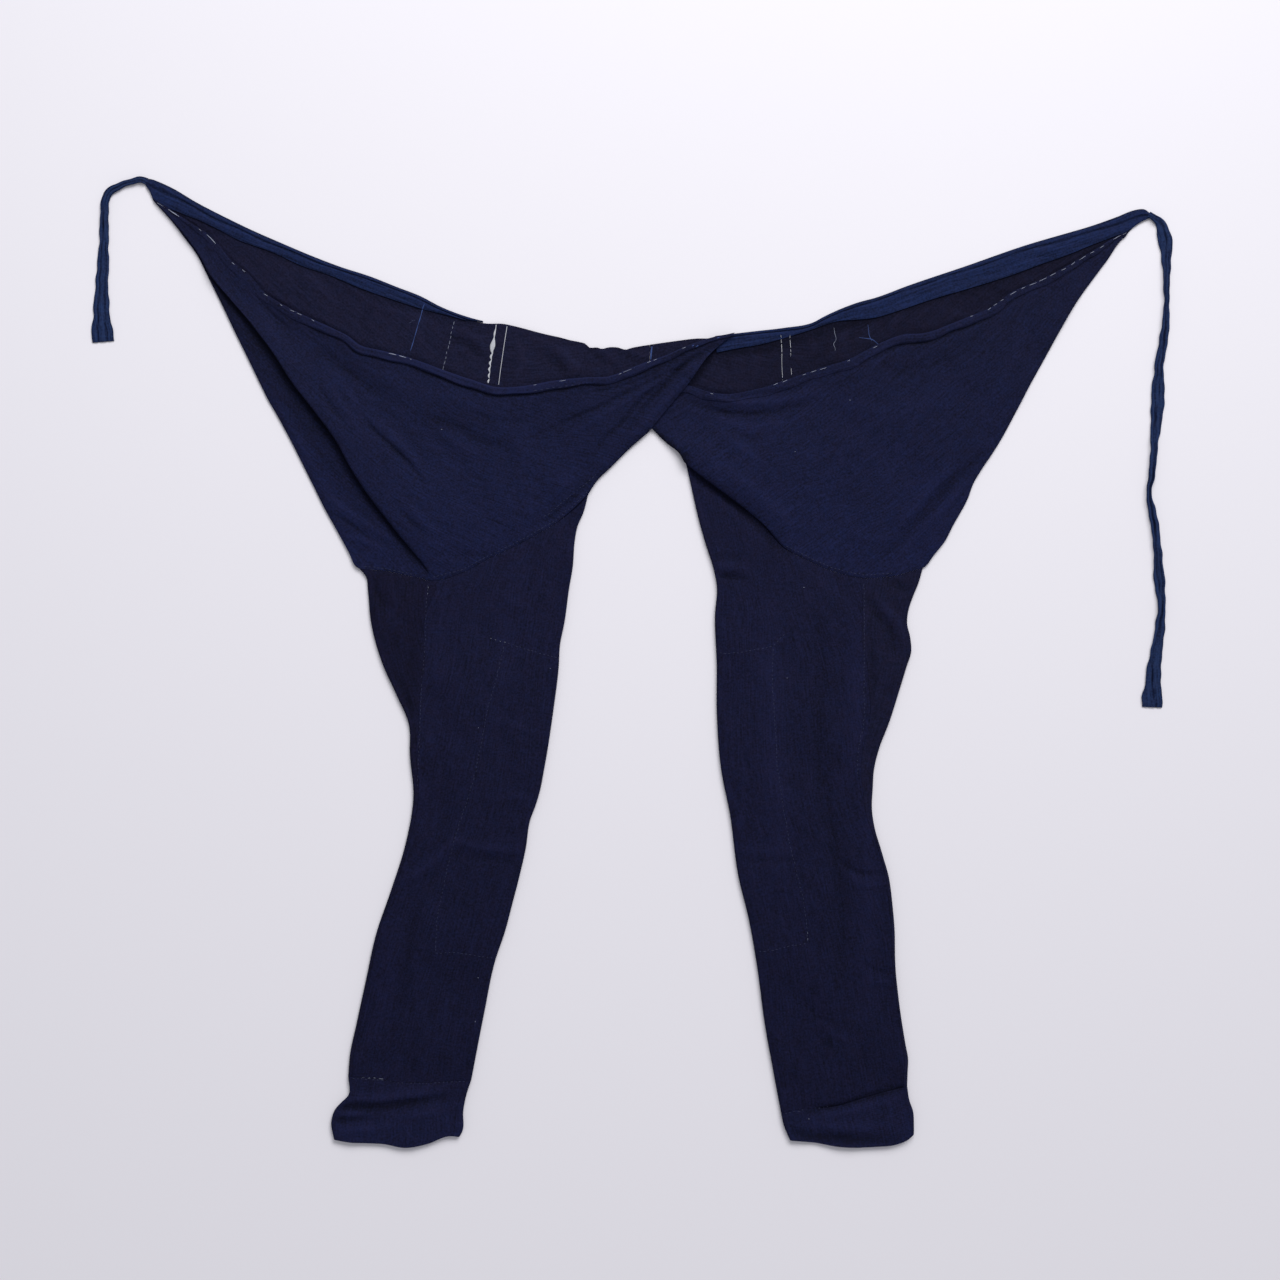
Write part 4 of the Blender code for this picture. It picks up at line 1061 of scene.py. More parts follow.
def front_plan(edges, side, seam, near, down, hem_width):
    """Plan points of a front panel, their shares across, and the widths of its rows."""
    end = np.concatenate([seam, edges["crotch"][1:], edges["flap"][1:]])
    end_width = length(end)
    seam_end = length(seam) / end_width
    crotch_end = seam_end + length(edges["crotch"]) / end_width
    edge, low = along(edges["front"], down), along(side, down)
    width = np.linalg.norm(edge - low, axis=1)
    width = width + (end_width - width) * down**END_SPREAD
    start = np.array([side[0], edges["front"][0]])
    last = patch(side, edges["front"], start, end, np.tile(ROW_END, (len(down), 1)), down)
    row_way = last[:, 0] - last[:, 1]
    row_way /= np.linalg.norm(row_way, axis=1)[:, None]
    inward, way, room = hem_ways(edge, row_way, down)
    wanted = read(hem_width, down) * (1 + HEM_WAVER * waver(down, HEM_WAVER_WAVES))
    size = np.minimum(wanted, room * width) / (way * inward).sum(1)
    hem = 1 - size / width
    line = edge + way * size[:, None]
    line[-1] = along(end, hem[-1:])[0]
    line[0] = edge[0] + (side[0] - edge[0]) * (1 - hem[0])

    columns = list(np.array(near) / end_width)
    for stop in (seam_end, crotch_end, hem[-1]):
        run = (stop - columns[-1]) * end_width
        columns += list(np.linspace(columns[-1], stop, count(run, FRONT_CELL))[1:])
    at_end = np.array(columns) / hem[-1]
    even = np.linspace(0, 1, len(at_end))
    inner = at_end + (even - at_end) * ((1 - down) ** TIP_SPREAD)[:, None]
    body = fill(low, line, along(start, inner * hem[0]), along(end, inner * hem[-1]), inner, down)
    turned = np.linspace(0, 1, HEM_COLUMNS)[1:]
    plan = np.concatenate([body, line[:, None] + (edge - line)[:, None] * turned[:, None]], axis=1)
    hem = hem[:, None]
    return plan, np.concatenate([inner * hem, hem + (1 - hem) * turned], axis=1), width[:, None]


def gutter(plan, down, strength):
    """The shadowed line just below a hem, from 0 to 1, deeper in some stretches than in others."""
    near = slice(-HEM_COLUMNS - GUTTER_COLUMNS, 1 - HEM_COLUMNS)
    distance = nearest_on(plan[:, near].reshape(-1, 2), plan[::2, -HEM_COLUMNS])[0]
    shade = np.zeros(plan.shape[:2])
    from_line = distance.reshape(len(down), -1) - GUTTER_OFFSET
    shade[:, near] = np.exp(-(from_line / GUTTER_WIDTH) ** 2)
    return shade * (read(strength, down) * (GUTTER_EVEN + waver(down, GUTTER_WAVES)))[:, None]


def overhang(panel, from_foot, share, outward):
    """Pushes the cloth next to the foot of a fold out over it, by a share of the whole."""
    push = OVERHANG * read(OVERHANG_TABLE, np.minimum(from_foot, OVERHANG_TABLE[-1][0]))
    return panel + outward * (push * share)[..., None]


print("cells near the deep folds:", len(NEAR_FOLD), "over", NEAR_FOLD[-1], "mm")

# %% Heights and creases of the left front
CROSS_START_X = -100.0
CROSS_END_X = -30.0
CROSS_RISE = 4.4
# Along a fold, its height in mm; across it, shares of that height; the width of the hem from tip
# to crossing, and the strength of the shadowed line below it
LEFT_FOLD_HEIGHT = [(0.00, 0.0), (0.10, 1.6), (0.30, 5.6), (0.55, 8.2), (0.80, 8.4),
                    (0.93, 5.4), (1.00, 0.0)]
LEFT_FOLD_SECTION = [(0.000, 0.00), (0.005, 0.50), (0.011, 0.82), (0.024, 1.00), (0.065, 0.96),
                     (0.15, 0.72), (0.29, 0.32), (0.45, 0.07), (0.60, 0.00), (1.00, 0.00)]
LEFT_HEM_WIDTH = [(0.0, 5.0), (0.2, 8.0), (0.5, 9.0), (0.78, 9.0), (0.90, 7.0), (1.0, 3.6)]
LEFT_GUTTER = [(0.0, 0.0), (0.28, 0.0), (0.33, 0.6), (0.42, 0.5), (0.46, 0.5), (0.52, 1.0),
               (0.62, 1.4), (0.70, 1.2), (0.78, 0.6), (0.92, 0.5), (1.0, 0.3)]
LEFT_FRONT_CREASES = [
    (-0.8, 3.5, 0.0, LEFT["seam"]),
    (-2.6, 5, 0.0, [(-302, 276), (-288, 258), (-266, 238), (-243, 214), (-234, 200)]),
    (1.6, 8, 0.3, [(-292, 276), (-262, 248), (-234, 216)]),
    (-1.5, 5, 0.0, [(-354, 312), (-337, 286), (-320, 263)]),
    (1.2, 8, 0.0, [(-342, 312), (-322, 282), (-300, 250)]),
    (-1.7, 5, 0.0, [(-266, 178), (-250, 158), (-230, 139)]),
    (1.2, 7, 0.0, [(-252, 178), (-236, 158), (-216, 142)]),
    (-1.8, 11, 0.0, [(-236, 274), (-208, 268), (-182, 254), (-160, 244), (-138, 238)]),
    (0.8, 9, 0.0, [(-214, 252), (-190, 240), (-160, 226)]),
    (-0.9, 9, 0.0, [(-220, 122), (-186, 118), (-150, 122)]),
    (-1.2, 5, 0.0, [(84, 354), (70, 348), (44, 338), (21, 327), (4, 320), (-24, 312), (-60, 304)]),
    (-1.3, 5, 0.0, [(66, 342), (38, 330), (8, 315), (-20, 306), (-70, 298)]),
    (-1.5, 5, 0.0, [(80, 343), (58, 331), (12, 310), (-7, 300), (-32, 287), (-69, 271),
                    (-124, 246)]),
    (1.1, 6, 0.2, [(78, 338), (50, 320), (20, 306), (-10, 288), (-44, 268), (-90, 244)]),
    (-2.2, 4.5, 0.0, [(54, 328), (36, 314), (21, 302.5), (6, 288), (-11, 267.5), (-28, 252),
                      (-44, 230)]),
    (-3.0, 5, 0.0, [(93, 354), (82, 347), (66, 338), (51, 324), (36, 308.5), (21, 293.5), (12, 282),
                    (0, 262)]),
    (1.9, 6, 0.0, [(96, 352), (82, 338), (66, 321), (48, 302), (30, 284), (14, 266), (0, 250)]),
    (-1.0, 6, 0.0, [(-120, 316), (-60, 322), (0, 338)]),
    (-2.2, 4.5, 0.0, [(-112, 150), (-92, 162), (-68, 182), (-44, 206)]),
    (1.3, 7, 0.0, [(-116, 166), (-92, 182), (-60, 212)]),
    (1.7, 7, 0.3, [(-344, 186), (-318, 168), (-290, 150), (-262, 132)]),
    (-1.6, 5, 0.0, [(-346, 172), (-320, 156), (-294, 138)]),
    (1.2, 6, 0.2, [(-327, 142), (-304, 136), (-275, 124)]),
    (1.0, 12, 0.0, [(-440, 430), (-410, 380), (-380, 330)]),
    (1.0, 12, 0.0, [(-372, 362), (-336, 320), (-300, 280)]),
    (-1.1, 10, 0.0, [(-352, 352), (-316, 322), (-280, 296)]),
    (0.9, 18, 0.0, [(-300, 330), (-230, 300), (-150, 284)]),
    (-1.2, 5, 0.0, [(-420, 405), (-400, 386), (-384, 372)]),
    (-1.0, 7, 0.0, [(-184, 280), (-150, 270), (-110, 270)]),
    (1.2, 12, 0.0, [(-400, 290), (-372, 242), (-346, 196)]),
]
print("creases of the left front:", len(LEFT_FRONT_CREASES))

# %% Left front
# The side strip: a power that crowds its first columns, how many times the stretch in which its
# creases fade out goes into its width, and a power that ends its rolled edge close to the hip seam
STRIP_CROWDING = 1.2
STRIP_CALM = 6
STRIP_ROLL_END = 12
# The cloth dips at the foot of the fold, over these distances on the strip and on the panel
FOOT_DIP = 1.6
FOOT_REACH = 22.0
PANEL_FOOT_REACH = 4.0
# The flap comes down by this much at the crotch, but only where it is raised
CROTCH_DROP = 4.0
CROTCH_REACH = 8.0
RAISED = 2.0
# Two layers of darkening at the fold, partly dye left unfaded in it and mostly painted shadow of
# the overhanging fold: how dark, and how far on the strip. They fade faster on the panel, and are
# whole where the fold has this height
FOLD_DYE_AND_SHADOW = [(0.35, 14.0), (0.35, 46.0)]
FOLD_DYE_AND_SHADOW_FADE = 8.0
FOLD_DYE_AND_SHADOW_RISE = 5.0
FOLD_DYE_AND_SHADOW_LIMIT = 1.1
LEFT_WEAR_AND_SHADE_LIMITS = (-0.5, 0.4)


def left_front(edges):
    """Left front panel with its side strip, its deep fold, and its flap over the middle."""
    fold, outer, seam = smooth(DEEP_FOLD), edges["outer"], edges["seam"]
    junction = np.linalg.norm(seam - fold[-1], axis=1).argmin()
    fold[-1] = seam[junction]
    down = np.linspace(0, 1, count(length(fold), FRONT_CELL))

    strip_width = np.linalg.norm(along(fold, down) - along(outer, down), axis=1)
    shares = np.linspace(0, 1, count(strip_width.max(), FRONT_CELL))[:-1] ** STRIP_CROWDING
    tip = np.array([outer[0], fold[0]])
    strip = patch(outer, fold, tip, seam[:junction + 1], np.tile(shares, (len(down), 1)), down)
    strip_height = np.full(strip.shape[:-1], FRONT_TOP)

    panel, across, width = front_plan(edges, fold, seam[junction:], NEAR_FOLD, down,
                                      LEFT_HEM_WIDTH)
    from_foot = across * width
    crest = np.maximum(read(LEFT_FOLD_HEIGHT, down), 0)[:, None]
    rise = crest * np.clip(read(LEFT_FOLD_SECTION, across), 0, SECTION_LIMIT)
    outward = panel[:, :1] - panel[:, len(NEAR_FOLD) - 1:len(NEAR_FOLD)]
    outward /= np.linalg.norm(outward, axis=-1, keepdims=True)
    cross = CROSS_RISE * ease((panel[..., 0] - CROSS_START_X) / (CROSS_END_X - CROSS_START_X))
    folds = creased(panel, LEFT_FRONT_CREASES)
    below_hem = gutter(panel, down, LEFT_GUTTER)
    height = FRONT_TOP + rise + cross + folds + unevenness(panel) - GUTTER_DEPTH * below_hem
    height -= EDGE_DROP * rolled(panel, edges["front"][::4], EDGE_REACH)
    height -= EDGE_DROP * rolled(panel, edges["flap"][::4], SIDE_REACH)
    raised = height > FRONT_TOP + RAISED
    height -= CROTCH_DROP * rolled(panel, edges["crotch"][::4], CROTCH_REACH) * raised
    height -= FOOT_DIP * (1 - ease(from_foot / PANEL_FOOT_REACH)) * crest / FULL_RISE
    panel = overhang(panel, from_foot, crest / FULL_RISE, outward)

    to_foot = (1 - shares) * strip_width[:, None]
    strip_height -= FOOT_DIP * (1 - ease(to_foot / FOOT_REACH)) * crest / FULL_RISE
    strip_folds = creased(strip, LEFT_FRONT_CREASES)
    strip_height += (strip_folds + unevenness(strip)) * ease(shares * STRIP_CALM)
    above_seam = (1 - down**STRIP_ROLL_END)[:, None]
    strip_height -= SIDE_DROP * rolled(strip, outer[::4], SIDE_REACH) * above_seam

    plan = np.concatenate([strip, panel], axis=1)
    height = np.maximum(np.concatenate([strip_height, height], axis=1), LOWEST_FRONT)
    points = np.concatenate([plan, height[..., None]], axis=-1)
    # Crease ridges paler from wear; crease troughs and the line below the hem darker with painted
    # shade
    panel_wear_and_shade = folds * RIDGE_WEAR_AND_SHADE - GUTTER_PAINTED_SHADE * below_hem
    wear_and_shade = np.concatenate([strip_folds * RIDGE_WEAR_AND_SHADE, panel_wear_and_shade], axis=1)
    wear_and_shade = np.clip(wear_and_shade, *LEFT_WEAR_AND_SHADE_LIMITS)
    # Painted shadow of the deep fold, with some unfaded dye, on the strip and the panel's foot
    from_fold = np.concatenate([to_foot, from_foot * FOLD_DYE_AND_SHADOW_FADE], axis=1)
    share = np.minimum(crest / FOLD_DYE_AND_SHADOW_RISE, FOLD_DYE_AND_SHADOW_LIMIT)
    for amount, reach in FOLD_DYE_AND_SHADOW:
        wear_and_shade -= amount * (1 - ease(from_fold / reach)) * share
    cloth("front_left", points, "hip_front_left", front_cotton, wear_and_shade=wear_and_shade)
    return points


left_front_points = left_front(left)

# %% Heights and creases of the right front
RIGHT_FOLD_HEIGHT = [(0.00, 0.0), (0.30, 0.0), (0.39, 0.6), (0.49, 4.4), (0.60, 8.4),
                     (0.70, 8.8), (0.78, 5.6), (0.84, 1.2), (0.877, 0.0), (1.00, 0.0)]
RIGHT_FOLD_SECTION = [(0.000, 0.00), (0.006, 0.50), (0.013, 0.82), (0.025, 1.00), (0.05, 0.95),
                      (0.10, 0.75), (0.20, 0.35), (0.35, 0.05), (0.45, 0.00), (1.00, 0.00)]
RIGHT_HEM_WIDTH = [(0.0, 5.0), (0.2, 8.0), (0.4, 9.5), (0.6, 10.0), (0.85, 8.6), (1.0, 7.0)]
RIGHT_GUTTER = [(0.0, 0.2), (0.10, 0.4), (0.30, 0.5), (0.42, 0.9), (0.50, 0.6), (0.58, 0.2),
                (0.75, 0.1), (0.90, 0.1), (1.0, 0.0)]
RIGHT_FRONT_CREASES = [
    (-0.8, 3.5, 0.0, RIGHT["seam"]),
    (-1.8, 7, 0.0, [(46, 304), (56, 297), (72, 288), (90, 282), (112, 278), (156, 279),
                    (200, 290)]),
    (1.6, 8, 0.0, [(60, 306), (88, 296), (120, 290), (164, 292), (214, 304)]),
    (1.3, 10, 0.3, [(90, 276), (124, 264), (165, 266)]),
    (-1.2, 6, 0.0, [(70, 302), (110, 296), (150, 300), (200, 308)]),
    (-1.2, 9, 0.0, [(111, 263), (130, 250), (152, 234)]),
    (1.1, 9, 0.0, [(104, 250), (124, 236), (146, 220)]),
    (-2.3, 11, 0.0, [(392, 230), (366, 208), (345, 186), (322, 160), (299, 134), (280, 114)]),
    (1.0, 10, 0.4, [(398, 222), (372, 196), (346, 168), (318, 138), (300, 118)]),
    (1.4, 12, 0.0, [(360, 226), (330, 188), (302, 152)]),
    (0.9, 20, 0.0, [(210, 300), (300, 280), (390, 330)]),
    (1.0, 14, 0.0, [(90, 226), (140, 186), (190, 146)]),
    (-0.9, 14, 0.0, [(250, 330), (330, 330), (400, 372)]),
    (1.0, 12, 0.0, [(440, 380), (420, 320), (392, 270)]),
    (-1.4, 5, 0.0, [(276, 340), (306, 356), (330, 358)]),
    (-1.2, 5, 0.0, [(344, 362), (374, 374), (402, 386)]),
    (0.9, 9, 0.0, [(240, 150), (262, 138), (290, 140)]),
]
print("creases of the right front:", len(RIGHT_FRONT_CREASES))

# %% Right front
# Painted shade along the right front's rolled crotch edge, and how far it reaches
CROTCH_EDGE_PAINTED_SHADE = 0.7
CROTCH_EDGE_PAINTED_SHADE_REACH = 4.0
RIGHT_WEAR_AND_SHADE_LIMITS = (-0.6, 0.4)


def right_front(edges):
    """Right front panel; its deep fold stands over the leg, its corner lies under the left."""
    near_seam = 1 - np.array(NEAR_FOLD[::-1]) / length(edges["outer"])
    even = np.linspace(0, near_seam[0], count(length(edges["outer"]), FRONT_CELL))[:-1]
    down = np.concatenate([even, near_seam])
    panel, across, _ = front_plan(edges, edges["outer"], edges["seam"], NEAR_SIDE, down,
                                  RIGHT_HEM_WIDTH)
    crest = np.maximum(read(RIGHT_FOLD_HEIGHT, across), 0)
    rise = crest * np.clip(read(RIGHT_FOLD_SECTION, 1 - down), 0, SECTION_LIMIT)[:, None]
    outward = panel[-1:] - panel[-len(NEAR_FOLD):1 - len(NEAR_FOLD)]
    outward /= np.linalg.norm(outward, axis=-1, keepdims=True)
    folds = creased(panel, RIGHT_FRONT_CREASES)
    below_hem = gutter(panel, down, RIGHT_GUTTER)
    height = FRONT_TOP + rise + folds + unevenness(panel) - GUTTER_DEPTH * below_hem
    height -= EDGE_DROP * rolled(panel, edges["front"][::4], EDGE_REACH)
    height -= SIDE_DROP * rolled(panel, edges["outer"][::4], SIDE_REACH)
    height -= SIDE_DROP * rolled(panel, edges["crotch"][::4], SIDE_REACH)
    from_seam = np.tile((1 - down)[:, None] * length(edges["outer"]), (1, panel.shape[1]))
    panel = overhang(panel, from_seam, crest / FULL_RISE, outward)
    height = np.maximum(height, LOWEST_FRONT)
    points = np.concatenate([panel, height[..., None]], axis=-1)
    # Crease ridges paler from wear; crease troughs and the line below the hem darker with painted
    # shade
    wear_and_shade = folds * RIDGE_WEAR_AND_SHADE - GUTTER_PAINTED_SHADE * below_hem
    # Painted shade along the rolled crotch edge
    to_crotch = nearest_on(panel.reshape(-1, 2), edges["crotch"][::4])[0].reshape(wear_and_shade.shape)
    wear_and_shade -= CROTCH_EDGE_PAINTED_SHADE * np.exp(-(to_crotch / CROTCH_EDGE_PAINTED_SHADE_REACH) ** 2)
    cloth("front_right", points, "hip_front_right", front_cotton,
          wear_and_shade=np.clip(wear_and_shade, *RIGHT_WEAR_AND_SHADE_LIMITS))
    return points


right_front_points = right_front(right)

# %% [markdown]
# ## Front hems
#
# The upper edge of each front is turned down twice and stitched: a soft roll 4 to 10 mm wide, flat
# and faint near the tip and fuller further on. It is made from the panel's own last columns, moved
# up, so it follows every fold beneath it. Its lower side stands as a small step.

# %% Front hems
HEM_LIFT = 1.05
HEM_LOW_LIFT = 0.6
HEM_SECTION = [(0.0, -0.3), (0.10, 0.3), (0.3, 0.5), (0.55, 0.42), (0.78, 0.38), (0.88, 0.5),
               (0.95, 0.3), (1.0, -0.2)]
# Paleness across the hem from its low side to its folded edge, more where the hem stands out
HEM_PALENESS = [(0.0, 0.0), (0.12, 0.22), (0.5, 0.16), (0.70, 0.10), (0.80, 0.34), (0.92, 0.6),
            (1.0, 0.4)]
LEFT_HEM_TONE = [(0.0, 0.0), (0.27, 0.1), (0.34, 1.0), (0.8, 1.0), (0.92, 0.6), (1.0, 0.4)]
RIGHT_HEM_TONE = [(0.0, 0.1), (0.25, 0.2), (0.36, 0.8), (0.48, 0.5), (0.60, 0.15), (0.75, 0.1),
                  (1.0, 0.2)]
# The hem's section never gets flatter than this share, and the tone is 1 where it stands out
HEM_FLATTEST = 0.3
HEM_WALL = 0.5
HEM_SHIFT_WAVES = [(0.10, 61, 0), (0.07, 143, 1)]
HEM_PULL = (0.35, 3.1, 17.0)
HEM_PULL_SHARE = 0.4
HEM_PALENESS_WAVES = [(0.06, 37, 2)]


def hem(side, points, tone):
    """Turned hem on the last columns of a panel."""
    turned = points[:, -HEM_COLUMNS:].copy()
    share = np.linspace(0, 1, HEM_COLUMNS)
    down = np.linspace(0, 1, len(turned))[:, None]
    shift = waver(down, HEM_SHIFT_WAVES)
    places = np.clip(share + shift * share * (1 - share) * 4, 0, 1)
    strength = read(tone, down)
    turned[..., 2] += HEM_LOW_LIFT + (HEM_LIFT - HEM_LOW_LIFT) * strength
    turned[..., 2] += read(HEM_SECTION, places) * (HEM_FLATTEST + (1 - HEM_FLATTEST) * strength)
    pull = flutter(distances(turned[:, 0]), *HEM_PULL)
    turned[..., 2] += pull[:, None] * (share < 0.5) * HEM_PULL_SHARE
    wear_and_shade = read(HEM_PALENESS, share) * strength
    wear_and_shade = wear_and_shade + waver(down, HEM_PALENESS_WAVES) * (HEM_FLATTEST + strength)
    cloth("hem_" + side, turned, "front_hem_" + side, front_cotton, wall=HEM_WALL,
          wear_and_shade=wear_and_shade)


hem("left", left_front_points, LEFT_HEM_TONE)
hem("right", right_front_points, RIGHT_HEM_TONE)

# %% [markdown]
# ## Waistbands
#
# A strip of thinner, brighter blue cotton is folded lengthwise over the upper edge of the back and
# sewn down inside. It shows as a band with two or three fold lines along it. The section of the
# strip is a table of heights across it, and its folds wander a little as it goes.

# %% Waistbands
BAND_WALL = 0.6
BAND_TOP = 2.35
BAND_SECTION = [(0.0, -1.4), (0.8, -0.3), (2.0, 0.35), (3.2, 0.3), (4.2, -0.9), (5.2, 0.35),
                (7.5, 0.45), (10.0, 0.2), (12.0, -0.1), (14.0, 0.3), (17.0, 0.2), (20.0, 0.3),
                (30.0, 0.1)]
BAND_COLUMNS = 19
BAND_CROWDING = 1.2
BAND_EDGE = 2.0
BAND_EDGE_DROP = 0.4
# The left band comes down at its end towards the middle, over the last part of its length
BAND_END = 0.05
BAND_END_DROP = {"left": 0.9, "right": 0.0}
# How the folds wander across the band: a share at the tip, its growth, and small waves
BAND_WANDER = 0.5
BAND_WANDER_GROWTH = 0.8
BAND_WANDER_WAVES = [(0.08, 41, 2)]
# Paleness that follows the band's height: raised parts paler from wear and painted light, grooves
# darker with painted shade
BAND_WEAR_AND_SHADE = 0.5
BAND_WEAR_AND_SHADE_LIMITS = (-1, 0.6)


def waistband(side, edges):
    """Folded strip along the upper edge of the back."""
    down = np.linspace(0, 1, count(length(edges["band_top"])))
    top, low = along(edges["band_top"], down), along(edges["band_low"], down)
    width = np.linalg.norm(low - top, axis=1)[:, None]
    shares = np.linspace(0, 1, BAND_COLUMNS) ** BAND_CROWDING
    plan = top[:, None] + (low - top)[:, None] * shares[:, None]
    from_top = width * shares
    wander = BAND_WANDER + BAND_WANDER_GROWTH * down + waver(down, BAND_WANDER_WAVES)
    height = BAND_TOP + read(BAND_SECTION, from_top * wander[:, None])
    height -= BAND_EDGE_DROP * ease(1 - (width - from_top) / BAND_EDGE)
    height -= BAND_END_DROP[side] * ease((down - (1 - BAND_END)) / BAND_END)[:, None]
    height = np.maximum(height, BAND_WALL + PLY_SPACE)
    points = np.concatenate([plan, height[..., None]], axis=-1)
    # Raised parts paler with wear and painted light, grooves darker with painted shade
    wear_and_shade = BAND_WEAR_AND_SHADE * np.clip(height - BAND_TOP, *BAND_WEAR_AND_SHADE_LIMITS)
    cloth("band_" + side, points, "waistband_" + side, band_cotton,
          wall=BAND_WALL, wear_and_shade=wear_and_shade)


waistband("left", left)
waistband("right", right)

# %% [markdown]
# ## Ties
#
# A tie is the waistband's strip carried on past the tip, folded in three lengthwise and sewn. It
# lies as it fell: the left one bends round beyond the tip, the right one is twisted, so it goes
# from flat and wide to round and narrow and back. Each tie is a closed section carried along
# its path, with the edges of the folds as grooves that shift across it at the twists.

# %% Ties
TIE_THICK = 2.3
TIE_TWIST_THICK = 4.4
TIE_TWIST_WIDTH = 7.5
TIE_FLAT_WIDTH = 12.0
TIE_CELL = 2.0
TIE_SIDES = 30
# Powers that make the round section squarer, across and up
TIE_SQUARE = (0.8, 0.6)
# Painted light on the tie's upper face, strongest along its top
TIE_TOP_PAINTED_LIGHT = 0.25
# A groove, the small lip on each side of it, the painted shade in the groove and painted light on
# its lips, and how it fades down the sides of the tie
GROOVE_DEPTH = 0.95
GROOVE_WIDTH = 1.0
GROOVE_PAINTED_SHADE = 0.75
GROOVE_FADE = 0.3
LIP_SHARE = 0.4
LIP_PLACE = 2.2
TIE_WAVER = (0.5, 3.4, 13.0)
TIE_PINCH = (0.09, 5.3, 23.0, 1.0)
# Each end is thinner than the rest, over this distance
TIE_END = 3.0
TIE_END_THICK = 0.55
# Points of a tie are x, y and width; a fold's are shares of the tie's length and half width
LEFT_TIE = [(-543.9, 538.5, 7.8), (-548, 539.8, 7), (-552.5, 540.4, 6.8), (-559, 539.2, 6.8),
            (-566, 536.8, 6.8), (-576.6, 532.4, 7), (-582.6, 529.5, 8), (-587.8, 524.8, 9.4),
            (-590.2, 517, 9.4), (-591.6, 501.5, 9.1), (-591.8, 487, 10), (-592, 473, 11),
            (-592.6, 461, 11), (-593.2, 446, 13.4), (-594.8, 418, 14.8), (-594.9, 400, 17.2),
            (-595, 383, 21), (-593.6, 366, 24), (-593, 359, 24.6)]
LEFT_TIE_FOLDS = [[(0, -0.3), (0.25, -0.1), (0.45, 0.3), (0.7, 0.35), (1, 0.4)],
                  [(0, 0.5), (0.3, 0.6), (0.5, -0.35), (0.8, -0.45), (1, -0.35)]]
RIGHT_TIE = [(579.4, 501.6, 7), (582.4, 499.9, 6.4), (585.8, 497.6, 7), (590, 494, 9.6),
             (594.4, 487.5, 13.6), (597, 478, 15), (599, 465, 14.4), (599.4, 450, 11),
             (599.4, 434, 7.4), (599.4, 417, 6.4), (599.4, 400, 5.8), (597, 366, 9.8),
             (591.2, 332, 10), (590.4, 310, 13.8), (589.2, 282, 14.6), (586, 248, 8.8),
             (583.4, 215, 7.2), (579.8, 185, 5.8), (584.4, 164, 9), (589.4, 125, 8.6),
             (591.2, 95, 12.4), (593.8, 64, 8.6), (591.2, 30, 11.8), (586, -4, 15),
             (584, -32, 20.4), (583.2, -51, 23)]
RIGHT_TIE_FOLDS = [[(0, -0.5), (0.1, 0.2), (0.2, 0.5), (0.3, -0.4), (0.45, 0.35), (0.55, -0.3),
                    (0.68, 0.5), (0.8, 0.0), (1, 0.3)],
                   [(0, 0.4), (0.12, -0.5), (0.25, 0.0), (0.38, 0.5), (0.5, -0.5), (0.62, 0.3),
                    (0.75, -0.5), (0.88, 0.5), (1, -0.4)]]


def tie(side, points, folds):
    """Folded strip that lies along the points; each is x, y and width."""
    line = smooth(points)
    run = distances(line[:, :2])
    down = np.linspace(0, 1, count(run[-1], TIE_CELL))
    place = down * run[-1]
    path = np.stack([np.interp(place, run, line[:, k]) for k in range(3)], axis=1)
    out = square_to(ways(path[:, :2]))
    path[:, :2] += out * flutter(place, *TIE_WAVER)[:, None]
    path[:, 2] *= 1 + flutter(place, *TIE_PINCH)
    half_width = path[:, 2:] / 2
    twisted = ease((TIE_FLAT_WIDTH - path[:, 2:]) / (TIE_FLAT_WIDTH - TIE_TWIST_WIDTH))
    thick = TIE_THICK + (TIE_TWIST_THICK - TIE_THICK) * twisted

    turn = np.linspace(0, 2 * math.pi, TIE_SIDES + 1)
    across, lift = np.cos(turn)[None, :], np.sin(turn)[None, :]
    across = np.sign(across) * np.abs(across) ** TIE_SQUARE[0]
    height = thick / 2 * (1 + np.sign(lift) * np.abs(lift) ** TIE_SQUARE[1])
    on_top = np.clip(lift, 0, 1)
    # Painted light on the upper face
    wear_and_shade = TIE_TOP_PAINTED_LIGHT * on_top * np.ones_like(height)
    for fold in folds:
        from_fold = (across - read(fold, down)[:, None]) * half_width
        from_lip = np.abs(from_fold) - LIP_PLACE * GROOVE_WIDTH
        groove = np.exp(-(from_fold / GROOVE_WIDTH) ** 2)
        groove -= LIP_SHARE * np.exp(-(from_lip / GROOVE_WIDTH) ** 2)
        height -= GROOVE_DEPTH * groove * on_top ** GROOVE_FADE
        # Painted shade in the groove, painted light on its lips
        wear_and_shade -= GROOVE_PAINTED_SHADE * groove * on_top ** GROOVE_FADE
    to_end = np.minimum(down, 1 - down)[:, None] * run[-1]
    height *= TIE_END_THICK + (1 - TIE_END_THICK) * ease(to_end / TIE_END)
    plan = path[:, None, :2] + out[:, None] * (across * half_width)[..., None]
    points = np.concatenate([plan, height[..., None]], axis=-1)
    cloth("tie_" + side + "_cloth", points, "tie_" + side, tie_cotton, wall=0,
          wear_and_shade=wear_and_shade, joined=True)


tie("left", LEFT_TIE, LEFT_TIE_FOLDS)
tie("right", RIGHT_TIE, RIGHT_TIE_FOLDS)

# %% [markdown]
# ## Stitches
#
# Running stitches by hand are short dashes of thread that dip into the cloth, never quite even.
# One stitch is modelled once, as a small pointed bead, and copied along each line with a little
# change in length and direction. Each run of them is then joined and laid down on the cloth: every
# point drops to the height of the cloth under it, so a stitch follows each fold.

# %% Helpers for threads
STITCH_SINK = 0.12
